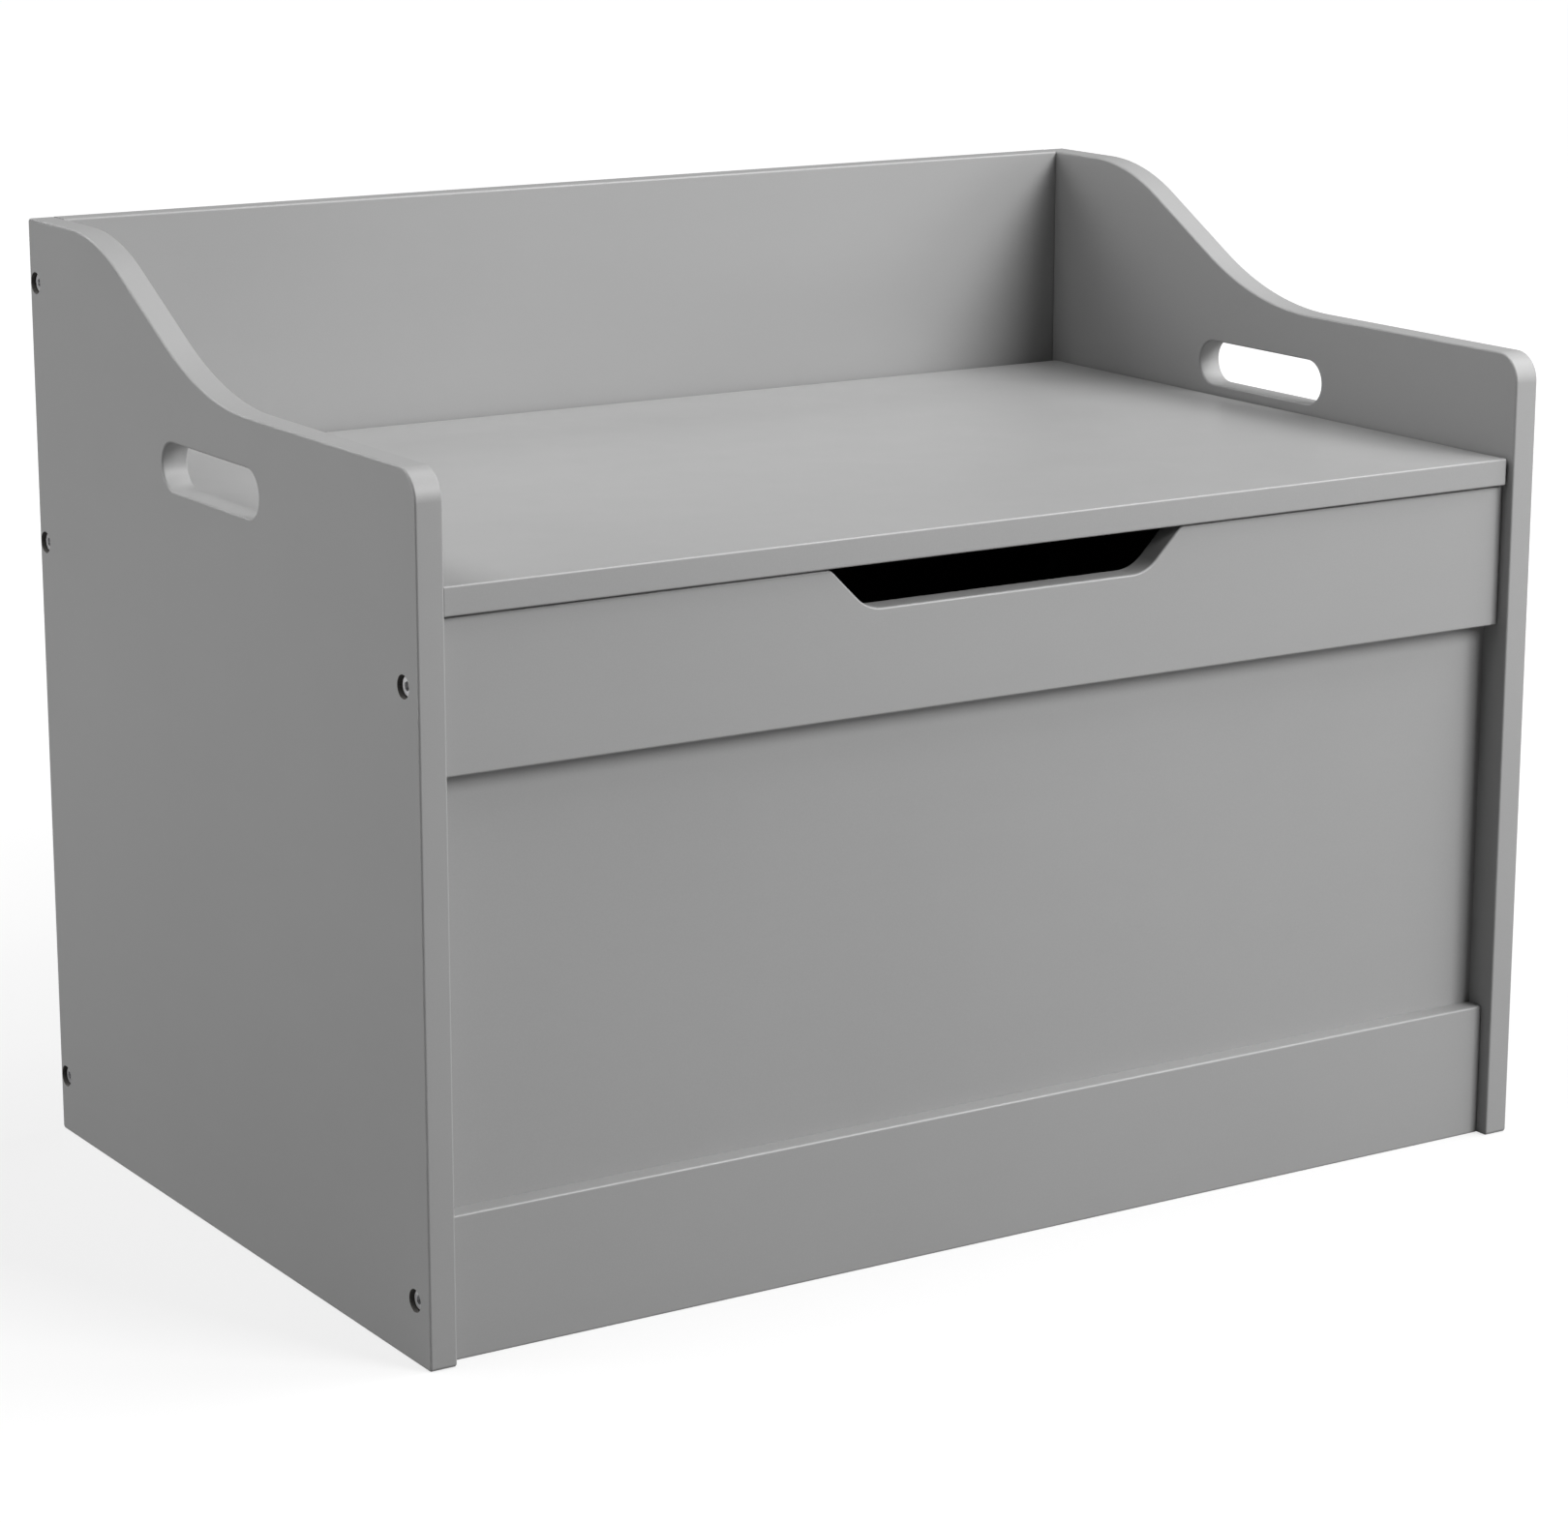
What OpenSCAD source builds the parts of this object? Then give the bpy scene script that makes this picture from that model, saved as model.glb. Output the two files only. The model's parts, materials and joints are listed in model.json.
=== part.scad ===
// Wooden toy box: a lidded chest that doubles as a child's bench, with a low backrest
// and a handle slot in each side panel.
// Millimetres. The origin is on the floor under the middle of the box,
// +X points to the right-hand side panel, -Y to the front and +Z up.

/* [Carcass] */
// Width over both side panels
box_w = 700; // [560:10:900]
// Depth from the side panels' front edges to the back
box_d = 450; // [430:5:520]
// Height of the backrest and of the side panels' rear part
box_h = 525; // [505:5:545]
// Thickness of every main board
board_t = 15; // [15:0.5:18]

/* [Side panels] */
// Height of the side panels' level front part
side_h = 452; // [440:1:460]
// Radius of the front top corner
corner_r = 16; // [5:1:30]
// Distance from the front edge to where the top edge starts to rise
sweep_start = 180; // [120:5:190]
// Steepest slope of the rising top edge, in degrees
sweep_slope = 29.2; // [25:0.2:32]
// Radius of the hollow curve at the foot of the rise
hollow_r = 200; // [120:5:200]
// Radius of the round curve at the head of the rise
crown_r = 127; // [80:1:130]

/* [Handle slots] */
// Length of the handle slot, round ends included
slot_len = 115; // [90:1:130]
// Height of the handle slot
slot_h = 26; // [22:1:30]
// Distance from the front edge to the middle of the slot
slot_from_front = 226.5; // [200:0.5:250]
// Height of the middle of the slot above the floor
slot_z = 413; // [410:1:420]

/* [Lid] */
// Height of the lid's top face above the floor
lid_top = 394; // [385:1:396]
// Setback of the lid's front edge from the side panels' front edges
lid_setback = 4; // [2:0.5:7]
// Gap between the lid and each side panel
lid_end_gap = 1.5; // [1.5:0.1:3]
// Gap between the closed lid and the backrest
lid_rear_gap = 1.5; // [1.5:0.1:3]
// Radius of the lid's rear top edge, which lets it turn past the backrest
lid_rear_r = 5; // [5:0.5:6]

/* [Rails] */
// Setback of the front rails' faces from the side panels' front edges
rail_setback = 8; // [6:0.5:12]
// Height of the underside of the front upper rail and of the backrest
upper_rail_z = 299; // [290:1:310]
// Height of the lower rails
lower_rail_h = 76; // [70:1:90]
// Gap between the front upper rail and the closed lid
bumper_gap = 1; // [0.8:0.1:2]

/* [Finger notch] */
// Width of the notch's floor between its two slopes
notch_w = 176; // [120:2:220]
// Depth of the notch
notch_depth = 23; // [15:1:28]
// Radius between the notch's floor and its slopes
notch_floor_r = 22; // [10:1:24]
// Radius between the slopes and the rail's top edge
notch_lip_r = 6; // [2:1:8]

/* [Thin panels] */
// Thickness of the front and back infill panels
infill_t = 4; // [3:0.5:5]
// Overlap of an infill panel on the rail above and below it
infill_lap = 10; // [6:1:12]
// Thickness of the bottom panel
bottom_t = 9; // [6:0.5:10]
// Height of the underside of the bottom panel
bottom_z = 12; // [6:1:14]
// Depth of the grooves for the thin panels
groove_depth = 5; // [4:0.5:6]

/* [Connector screws and dowels] */
// Diameter of the counterbores in the side panels
counterbore_d = 12; // [11.5:0.5:13]
// Distance from the side panel's face down to the screw's head
head_sink = 2.2; // [1:0.1:2.5]
// Diameter of the screw's head
head_d = 10; // [9:0.5:11]
// Length of the screw
screw_len = 50; // [45:1:60]
// Diameter of the wooden dowels
dowel_d = 8; // [6:1:8]
// Length of the wooden dowels
dowel_len = 30; // [25:1:35]

/* [Hinge] */
// Diameter of the hinge pins
pin_d = 8; // [6:0.5:8]
// Length of a hinge pin inside the lid
pin_grip = 20; // [15:1:30]
// Outside diameter of the hinge bushes
bush_d = 12; // [11:0.5:13]
// Depth of a hinge bush in the side panel
bush_depth = 11; // [9:0.5:12]
// Radial clearance of every running pivot
running_clearance = 0.05; // [0.02:0.01:0.08]

/* [Lid stays] */
// Distance from the hinge axis forward to the stay's pivot on the lid
stay_reach = 150; // [120:5:180]
// Distance from the hinge axis forward to the stay's pivot on the side panel
stay_base_forward = 40; // [35:1:50]
// Distance from the hinge axis down to the stay's pivot on the side panel
stay_base_drop = 70; // [65:1:80]
// Width of the stay's flat bars
bar_w = 14; // [12:1:16]

/* [Hidden] */
$fn = 64;

// Colours
PAINT = [0.62, 0.62, 0.62];
PANEL_PAINT = [0.58, 0.58, 0.58];
ZINC = [0.72, 0.72, 0.74];
STEEL = [0.8, 0.8, 0.8];
NYLON = [0.9, 0.9, 0.88];
RUBBER = [0.2, 0.2, 0.2];
BEECH = [0.8, 0.66, 0.47];

// Extra length that lets a cut run out past a face
CUT = 1;

// Main planes of the carcass
front_y = -box_d / 2;
back_y = box_d / 2;
outer_x = box_w / 2;
inner_x = outer_x - board_t;
rail_face_y = front_y + rail_setback;
rail_back_y = rail_face_y + board_t;
backrest_y = back_y - board_t;
upper_rail_top = lid_top - board_t - bumper_gap;

// Middle of the front rails' and of the backrest's thickness
front_mid_y = rail_face_y + board_t / 2;
back_mid_y = back_y - board_t / 2;

// The rising top edge: a hollow curve, a straight slope and a round curve, each tangent to the next
sweep_rise = box_h - side_h;
sweep_flat = (sweep_rise - (hollow_r + crown_r) * (1 - cos(sweep_slope))) / sin(sweep_slope);
sweep_y0 = front_y + sweep_start;
sweep_y1 = sweep_y0 + hollow_r * sin(sweep_slope);
sweep_z1 = side_h + hollow_r * (1 - cos(sweep_slope));
sweep_y2 = sweep_y1 + sweep_flat * cos(sweep_slope);
sweep_z2 = sweep_z1 + sweep_flat * sin(sweep_slope);
sweep_y3 = sweep_y2 + crown_r * sin(sweep_slope);
crown_corner_y = sweep_y3 - crown_r * tan(sweep_slope / 2);

// Thin panels
panel_play = 0.5;
infill_w = 2 * (inner_x + groove_depth - panel_play);
infill_h = upper_rail_z - lower_rail_h + 2 * infill_lap;
infill_z = lower_rail_h - infill_lap;
front_infill_y = rail_back_y - infill_t;
back_infill_y = backrest_y;

// Connector screws: places on the side panel and the shape of one screw
FRONT_SCREW_Z = [33, 345];
BACK_SCREW_Z = [33, 345, 490];
SCREW_PLACES = concat(
    [for (z = FRONT_SCREW_Z) [front_mid_y, z]],
    [for (z = BACK_SCREW_Z) [back_mid_y, z]]
);
screw_head_h = 4;
screw_shank_d = 7;
screw_core_d = 5;
hex_key = 4.6;
hex_depth = 2.5;
screw_seat_x = outer_x - head_sink - screw_head_h;
screw_tip_x = outer_x - head_sink - screw_len;

// Dowels
FRONT_DOWEL_Z = [58, 318];
BACK_DOWEL_Z = [58, 318, 418];
DOWEL_PLACES = concat(
    [for (z = FRONT_DOWEL_Z) [front_mid_y, z]],
    [for (z = BACK_DOWEL_Z) [back_mid_y, z]]
);
dowel_in_side = 10;
dowel_play = 0.5;

// Hinge axis, along X through the middle of the lid's thickness
hinge_y = backrest_y - lid_rear_gap - board_t / 2;
hinge_z = lid_top - board_t / 2;
bush_flange_d = 14;
bush_flange_t = 1;
bush_floor = 0.5;
pin_end_play = 0.2;

// Lid
lid_end_x = inner_x - lid_end_gap;
lid_front_y = front_y + lid_setback;
lid_back_y = backrest_y - lid_rear_gap;
lid_under = lid_top - board_t;
bumper_d = 10;
bumper_x = 250;
bumper_play = 0.1;

// Lid stays: every layer is a distance from the side panel's inner face towards the middle
plate_t = 2.5;
bar_t = 3;
layer_gap = 0.5;
arm_layer = plate_t + layer_gap;
link_layer = arm_layer + bar_t + layer_gap;
tab_layer = link_layer + bar_t + layer_gap;
rivet_d = 6;
rivet_head_d = 11;
rivet_head_t = 1.5;
rivet_play = 0.1;
open_pivot_clearance = 0.2;
stay_lid_drop = 22;

// The four pivots of one stay with the lid closed. Hinge, base, elbow and lid pivot are the
// corners of a parallelogram, so the arm turns with the lid and the link stays parallel to itself.
hinge_at = [hinge_y, hinge_z];
base_at = hinge_at - [stay_base_forward, stay_base_drop];
lid_pivot_at = hinge_at - [stay_reach, stay_lid_drop];
elbow_at = base_at + lid_pivot_at - hinge_at;

// Stay brackets and their wood screws
side_plate_w = 30;
side_plate_h = 64;
side_plate_r = 5;
SIDE_SCREWS = [[-8, 23], [8, 23], [0, -23]];
tab_w = 16;
flange_w = 30;
flange_len = 56;
flange_screw_in = 18;
LID_SCREWS = [-19, 0, 19];
wood_screw_len = 12;
wood_screw_d = 3.5;
wood_screw_head_d = 7;
wood_screw_head_h = 2;
cross_w = 1;
cross_len = 4;
cross_depth = 1;

// Extrudes a shape drawn in Y and Z along +X from x = from_x
module along_x(from_x, len) {
    translate([from_x, 0, 0]) rotate([90, 0, 90]) linear_extrude(len) children();
}

// Extrudes a shape drawn in X and Z along +Y from y = from_y
module along_y(from_y, len) {
    translate([0, from_y + len, 0]) rotate([90, 0, 0]) linear_extrude(len) children();
}

// A cylinder along +X that starts at x = from_x, on the point [y, z]
module rod_x(from_x, len, d, at) {
    translate([from_x, at[0], at[1]]) rotate([0, 90, 0]) cylinder(h = len, d = d);
}

// A box between two opposite corners
module box(low, high) {
    translate(low) cube(high - low);
}

// Makes the left-hand copy of a right-hand part
module left() {
    mirror([1, 0, 0]) children();
}

// ---- Side panels ----

// Outline of a side panel, in Y and Z: a plain rectangle less what lies above its top edge
module side_outline() {
    above = box_h + CUT;
    before = front_y - CUT;
    difference() {
        translate([front_y, 0]) square([box_d, box_h]);
        // Over the level front part and the straight slope
        polygon([
            [before, side_h], [sweep_y0, side_h], [sweep_y1, sweep_z1], [sweep_y2, sweep_z2],
            [crown_corner_y, box_h], [crown_corner_y, above], [before, above]
        ]);
        // The hollow curve
        translate([sweep_y0, side_h + hollow_r]) circle(r = hollow_r);
        // The round curve
        difference() {
            polygon([[sweep_y2, sweep_z2], [crown_corner_y, above], [sweep_y3, above], [sweep_y3, box_h]]);
            translate([sweep_y3, box_h - crown_r]) circle(r = crown_r);
        }
        // The front top corner
        difference() {
            translate([before, side_h - corner_r]) square([corner_r + CUT, corner_r + CUT]);
            translate([front_y + corner_r, side_h - corner_r]) circle(r = corner_r);
        }
    }
}

// Outline of the handle slot, in Y and Z
module slot_outline() {
    half = (slot_len - slot_h) / 2;
    translate([front_y + slot_from_front, slot_z]) {
        square([2 * half, slot_h], center = true);
        for (end = [-1, 1]) translate([end * half, 0]) circle(d = slot_h);
    }
}

// The bores and grooves in the right-hand side panel
module side_cuts() {
    along_x(inner_x - CUT, board_t + 2 * CUT) slot_outline();
    for (at = SCREW_PLACES) {
        rod_x(inner_x - CUT, board_t + 2 * CUT, screw_shank_d, at);
        rod_x(screw_seat_x, outer_x - screw_seat_x + CUT, counterbore_d, at);
    }
    for (at = DOWEL_PLACES) rod_x(inner_x - CUT, dowel_in_side + dowel_play + CUT, dowel_d, at);
    rod_x(inner_x - CUT, bush_depth + CUT, bush_d, hinge_at);
    for (offset = SIDE_SCREWS)
        rod_x(inner_x - CUT, wood_screw_len - plate_t + CUT, wood_screw_d, base_at + offset);
    for (y = [front_infill_y, back_infill_y])
        box([inner_x - CUT, y, infill_z], [inner_x + groove_depth, y + infill_t, infill_z + infill_h]);
    box([inner_x - CUT, rail_back_y - groove_depth, bottom_z],
        [inner_x + groove_depth, backrest_y + groove_depth, bottom_z + bottom_t]);
}

module right_side_panel() {
    color(PAINT) difference() {
        along_x(inner_x, board_t) side_outline();
        side_cuts();
    }
}

module left_side_panel() {
    left() right_side_panel();
}

// ---- Rails, backrest and thin panels ----

// Pilot bores in both ends of a board for the screws and the dowels at depth y
module end_bores(y, screws, dowels) {
    for (side = [0, 1]) mirror([side, 0, 0]) {
        for (z = screws) rod_x(screw_tip_x, inner_x - screw_tip_x + CUT, screw_core_d, [y, z]);
        for (z = dowels)
            rod_x(inner_x + dowel_in_side - dowel_len - dowel_play,
                dowel_len - dowel_in_side + dowel_play + CUT, dowel_d, [y, z]);
    }
}

// Heights of the places between two heights, in order
function between(places, low, high) = [for (z = places) if (z > low && z < high) z];

// Half of the notch's width at the rail's top edge, before the lip is rounded
notch_half_top = notch_w / 2 + notch_depth;
notch_floor_z = upper_rail_top - notch_depth;

// Points of an arc round [x, z] from one angle to another
function arc(x, z, r, from, to, steps) =
    [for (i = [0:steps]) let (a = from + (to - from) * i / steps) [x + r * cos(a), z + r * sin(a)]];

// One side of the notch from its lip to its floor: two arcs joined by a slope of 45 degrees
function notch_side() = let (
    slope = 45,
    lip_steps = 6,
    floor_steps = 10,
    lip_x = notch_half_top + notch_lip_r * tan(slope / 2),
    floor_x = notch_w / 2 - notch_floor_r * tan(slope / 2)
) concat(
    arc(lip_x, upper_rail_top - notch_lip_r, notch_lip_r, 90, 90 + slope, lip_steps),
    arc(floor_x, notch_floor_z + notch_floor_r, notch_floor_r, 270 + slope, 270, floor_steps)
);

// Outline of the finger notch, in X and Z
module notch_outline() {
    right_half = notch_side();
    count = len(right_half);
    left_half = [for (i = [1:count]) [-right_half[count - i][0], right_half[count - i][1]]];
    above = upper_rail_top + CUT;
    polygon(concat([[right_half[0][0], above]], right_half, left_half, [[-right_half[0][0], above]]));
}

module front_upper_rail() {
    color(PAINT) difference() {
        box([-inner_x, rail_face_y, upper_rail_z], [inner_x, rail_back_y, upper_rail_top]);
        along_y(rail_face_y - CUT, board_t + 2 * CUT) notch_outline();
        box([-outer_x, front_infill_y, upper_rail_z - CUT],
            [outer_x, rail_back_y + CUT, upper_rail_z + infill_lap]);
        end_bores(front_mid_y, between(FRONT_SCREW_Z, upper_rail_z, upper_rail_top),
            between(FRONT_DOWEL_Z, upper_rail_z, upper_rail_top));
    }
}

module front_lower_rail() {
    color(PAINT) difference() {
        box([-inner_x, rail_face_y, 0], [inner_x, rail_back_y, lower_rail_h]);
        box([-outer_x, front_infill_y, infill_z], [outer_x, rail_back_y + CUT, lower_rail_h + CUT]);
        box([-outer_x, rail_back_y - groove_depth, bottom_z],
            [outer_x, rail_back_y + CUT, bottom_z + bottom_t]);
        end_bores(front_mid_y, between(FRONT_SCREW_Z, 0, lower_rail_h),
            between(FRONT_DOWEL_Z, 0, lower_rail_h));
    }
}

module back_lower_rail() {
    color(PAINT) difference() {
        box([-inner_x, backrest_y, 0], [inner_x, back_y, lower_rail_h]);
        box([-outer_x, backrest_y - CUT, infill_z],
            [outer_x, back_infill_y + infill_t, lower_rail_h + CUT]);
        box([-outer_x, backrest_y - CUT, bottom_z],
            [outer_x, backrest_y + groove_depth, bottom_z + bottom_t]);
        end_bores(back_mid_y, between(BACK_SCREW_Z, 0, lower_rail_h),
            between(BACK_DOWEL_Z, 0, lower_rail_h));
    }
}

module backrest_board() {
    color(PAINT) difference() {
        box([-inner_x, backrest_y, upper_rail_z], [inner_x, back_y, box_h]);
        box([-outer_x, backrest_y - CUT, upper_rail_z - CUT],
            [outer_x, back_infill_y + infill_t, upper_rail_z + infill_lap]);
        end_bores(back_mid_y, between(BACK_SCREW_Z, upper_rail_z, box_h),
            between(BACK_DOWEL_Z, upper_rail_z, box_h));
    }
}

module infill_panel(y) {
    color(PANEL_PAINT)
        box([-infill_w / 2, y, infill_z], [infill_w / 2, y + infill_t, infill_z + infill_h]);
}

module front_infill_panel() {
    infill_panel(front_infill_y);
}

module back_infill_panel() {
    infill_panel(back_infill_y);
}

module bottom_panel() {
    reach = groove_depth - panel_play;
    color(PANEL_PAINT)
        box([-inner_x - reach, rail_back_y - reach, bottom_z],
            [inner_x + reach, backrest_y + reach, bottom_z + bottom_t]);
}

// ---- Connector screws and dowels ----

// One connector screw in the right-hand side panel, with a hex socket in its head
module connector_screw(at) {
    difference() {
        union() {
            rod_x(screw_seat_x, screw_head_h, head_d, at);
            rod_x(inner_x, screw_seat_x - inner_x, screw_shank_d, at);
            rod_x(screw_tip_x, inner_x - screw_tip_x, screw_core_d, at);
        }
        translate([screw_seat_x + screw_head_h - hex_depth, at[0], at[1]]) rotate([0, 90, 0])
            cylinder(h = hex_depth + CUT, d = hex_key / cos(30), $fn = 6);
    }
}

module right_connector_screws() {
    color(ZINC) for (at = SCREW_PLACES) connector_screw(at);
}

module left_connector_screws() {
    left() right_connector_screws();
}

module right_dowels() {
    color(BEECH) for (at = DOWEL_PLACES) rod_x(inner_x + dowel_in_side - dowel_len, dowel_len, dowel_d, at);
}

module left_dowels() {
    left() right_dowels();
}

// ---- Lid and hinge ----

// Outline of the lid's section, in Y and Z, with its rear top edge rounded
module lid_outline() {
    translate([lid_front_y, lid_under]) square([lid_back_y - lid_front_y, board_t - lid_rear_r]);
    translate([lid_front_y, lid_under]) square([lid_back_y - lid_rear_r - lid_front_y, board_t]);
    translate([lid_back_y - lid_rear_r, lid_top - lid_rear_r]) circle(r = lid_rear_r);
}

module lid_panel() {
    color(PAINT) difference() {
        along_x(-lid_end_x, 2 * lid_end_x) lid_outline();
        for (side = [0, 1]) mirror([side, 0, 0]) {
            rod_x(lid_end_x - pin_grip, pin_grip + CUT, pin_d, hinge_at);
            for (y = LID_SCREWS)
                translate([inner_x - tab_layer - flange_screw_in, lid_pivot_at[0] + y, lid_under - CUT])
                    cylinder(h = wood_screw_len - plate_t + CUT, d = wood_screw_d);
        }
    }
}

module right_hinge_pin() {
    from_x = lid_end_x - pin_grip;
    color(STEEL) rod_x(from_x, inner_x + bush_depth - bush_floor - pin_end_play - from_x, pin_d, hinge_at);
}

module left_hinge_pin() {
    left() right_hinge_pin();
}

module right_hinge_bush() {
    color(NYLON) difference() {
        union() {
            rod_x(inner_x - bush_flange_t, bush_flange_t, bush_flange_d, hinge_at);
            rod_x(inner_x, bush_depth, bush_d, hinge_at);
        }
        rod_x(inner_x - bush_flange_t - CUT, bush_flange_t + CUT + bush_depth - bush_floor,
            pin_d + 2 * running_clearance, hinge_at);
    }
}

module left_hinge_bush() {
    left() right_hinge_bush();
}

module lid_bumpers() {
    color(RUBBER) for (side = [-1, 1])
        translate([side * bumper_x, front_mid_y, upper_rail_top])
            cylinder(h = bumper_gap - bumper_play, d = bumper_d);
}

// ---- Lid stays ----

// Shifts a part drawn at x = 0 to a layer of the right-hand stay, with x running towards the middle
module stay_layer(layer) {
    translate([inner_x - layer, 0, 0]) mirror([1, 0, 0]) children();
}

// Outline of a flat bar with round ends from one pivot to another, in Y and Z
module bar_outline(from, to) {
    run = to - from;
    length = norm(run);
    translate(from) rotate(atan2(run[1], run[0])) {
        translate([0, -bar_w / 2]) square([length, bar_w]);
        circle(d = bar_w);
        translate([length, 0]) circle(d = bar_w);
    }
}

// A flat bar with a bore at each end
module stay_bar(from, to, from_d, to_d) {
    difference() {
        along_x(0, bar_t) bar_outline(from, to);
        rod_x(-CUT, bar_t + 2 * CUT, from_d, from);
        rod_x(-CUT, bar_t + 2 * CUT, to_d, to);
    }
}

// A countersunk wood screw along +Z with the top of its head at z = 0 and its tip below
module wood_screw() {
    difference() {
        union() {
            translate([0, 0, -wood_screw_head_h])
                cylinder(h = wood_screw_head_h, d1 = wood_screw_d, d2 = wood_screw_head_d);
            translate([0, 0, -wood_screw_len])
                cylinder(h = wood_screw_len - wood_screw_head_h, d = wood_screw_d);
        }
        for (turn = [0, 90]) rotate([0, 0, turn])
            translate([-cross_len / 2, -cross_w / 2, -cross_depth])
                cube([cross_len, cross_w, cross_depth + CUT]);
    }
}

// The countersunk hole that a wood screw leaves in a bracket
module wood_screw_hole() {
    translate([0, 0, -wood_screw_head_h])
        cylinder(h = wood_screw_head_h, d1 = wood_screw_d, d2 = wood_screw_head_d);
    translate([0, 0, -plate_t - CUT]) cylinder(h = plate_t + CUT, d = wood_screw_d);
}

// Places a screw of the side bracket, head towards the middle of the box
module on_side_plate() {
    for (offset = SIDE_SCREWS)
        translate([inner_x - plate_t, base_at[0] + offset[0], base_at[1] + offset[1]])
            rotate([0, -90, 0]) children();
}

// Places a screw of the lid bracket, head down
module on_lid_flange() {
    for (y = LID_SCREWS)
        translate([inner_x - tab_layer - flange_screw_in, lid_pivot_at[0] + y, lid_under - plate_t])
            rotate([180, 0, 0]) children();
}

// Outline of the side bracket, in Y and Z
module side_plate_outline() {
    translate(base_at) {
        square([side_plate_w, side_plate_h - 2 * side_plate_r], center = true);
        square([side_plate_w - 2 * side_plate_r, side_plate_h], center = true);
        for (y = [-1, 1], z = [-1, 1])
            translate([y * (side_plate_w / 2 - side_plate_r), z * (side_plate_h / 2 - side_plate_r)])
                circle(r = side_plate_r);
    }
}

module right_stay_side_bracket() {
    color(ZINC) difference() {
        stay_layer(0) along_x(0, plate_t) side_plate_outline();
        stay_layer(0) rod_x(-CUT, plate_t + 2 * CUT, rivet_d, base_at);
        on_side_plate() wood_screw_hole();
    }
}

module left_stay_side_bracket() {
    left() right_stay_side_bracket();
}

module right_stay_side_screws() {
    color(STEEL) on_side_plate() wood_screw();
}

module left_stay_side_screws() {
    left() right_stay_side_screws();
}

// Rivet in the side bracket that the arm turns on
module right_stay_base_rivet() {
    head = arm_layer + bar_t + rivet_play;
    color(STEEL) stay_layer(0) {
        rod_x(0, head, rivet_d, base_at);
        rod_x(head, rivet_head_t, rivet_head_d, base_at);
    }
}

module left_stay_base_rivet() {
    left() right_stay_base_rivet();
}

module right_stay_arm() {
    color(ZINC) stay_layer(arm_layer)
        stay_bar(base_at, elbow_at, rivet_d + 2 * running_clearance, rivet_d);
}

module left_stay_arm() {
    left() right_stay_arm();
}

// Rivet in the arm that the link turns on
module right_stay_elbow_rivet() {
    head = link_layer + bar_t + rivet_play;
    color(STEEL) stay_layer(0) {
        rod_x(arm_layer - rivet_head_t, rivet_head_t, rivet_head_d, elbow_at);
        rod_x(arm_layer, head - arm_layer, rivet_d, elbow_at);
        rod_x(head, rivet_head_t, rivet_head_d, elbow_at);
    }
}

module left_stay_elbow_rivet() {
    left() right_stay_elbow_rivet();
}

module right_stay_link() {
    color(ZINC) stay_layer(link_layer)
        stay_bar(elbow_at, lid_pivot_at, rivet_d + 2 * running_clearance,
            rivet_d + 2 * open_pivot_clearance);
}

module left_stay_link() {
    left() right_stay_link();
}

// Angle bracket under the lid: a flange on the lid and a tab that carries the link's pivot
module right_stay_lid_bracket() {
    middle_y = lid_pivot_at[0];
    tab_x = inner_x - tab_layer;
    color(ZINC) difference() {
        union() {
            box([tab_x - flange_w, middle_y - flange_len / 2, lid_under - plate_t],
                [tab_x, middle_y + flange_len / 2, lid_under]);
            stay_layer(tab_layer) along_x(0, plate_t) {
                translate(lid_pivot_at) circle(d = tab_w);
                translate([middle_y - tab_w / 2, lid_pivot_at[1]])
                    square([tab_w, lid_under - plate_t / 2 - lid_pivot_at[1]]);
            }
        }
        stay_layer(tab_layer) rod_x(-CUT, plate_t + 2 * CUT, rivet_d, lid_pivot_at);
        on_lid_flange() wood_screw_hole();
    }
}

module left_stay_lid_bracket() {
    left() right_stay_lid_bracket();
}

module right_stay_lid_screws() {
    color(STEEL) on_lid_flange() wood_screw();
}

module left_stay_lid_screws() {
    left() right_stay_lid_screws();
}

// Rivet in the lid bracket that the link's far end hangs on
module right_stay_lid_rivet() {
    shank_from = link_layer - rivet_play;
    shank_to = tab_layer + plate_t;
    color(STEEL) stay_layer(0) {
        rod_x(shank_from - rivet_head_t, rivet_head_t, rivet_head_d, lid_pivot_at);
        rod_x(shank_from, shank_to - shank_from, rivet_d, lid_pivot_at);
        rod_x(shank_to, rivet_head_t, rivet_head_d, lid_pivot_at);
    }
}

module left_stay_lid_rivet() {
    left() right_stay_lid_rivet();
}

left_side_panel();
right_side_panel();
front_upper_rail();
front_lower_rail();
front_infill_panel();
backrest_board();
back_lower_rail();
back_infill_panel();
bottom_panel();
left_connector_screws();
right_connector_screws();
left_dowels();
right_dowels();
left_hinge_bush();
right_hinge_bush();
lid_panel();
left_hinge_pin();
right_hinge_pin();
lid_bumpers();
left_stay_side_bracket();
right_stay_side_bracket();
left_stay_side_screws();
right_stay_side_screws();
left_stay_base_rivet();
right_stay_base_rivet();
left_stay_arm();
right_stay_arm();
left_stay_elbow_rivet();
right_stay_elbow_rivet();
left_stay_link();
right_stay_link();
left_stay_lid_bracket();
right_stay_lid_bracket();
left_stay_lid_screws();
right_stay_lid_screws();
left_stay_lid_rivet();
right_stay_lid_rivet();
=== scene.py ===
"""Looks for the wooden toy box: satin grey paint, plated steel fittings, soft studio light."""
import json
import math

import bmesh
import bpy
from mathutils import Matrix, Vector
from mathutils.geometry import tessellate_polygon


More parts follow.
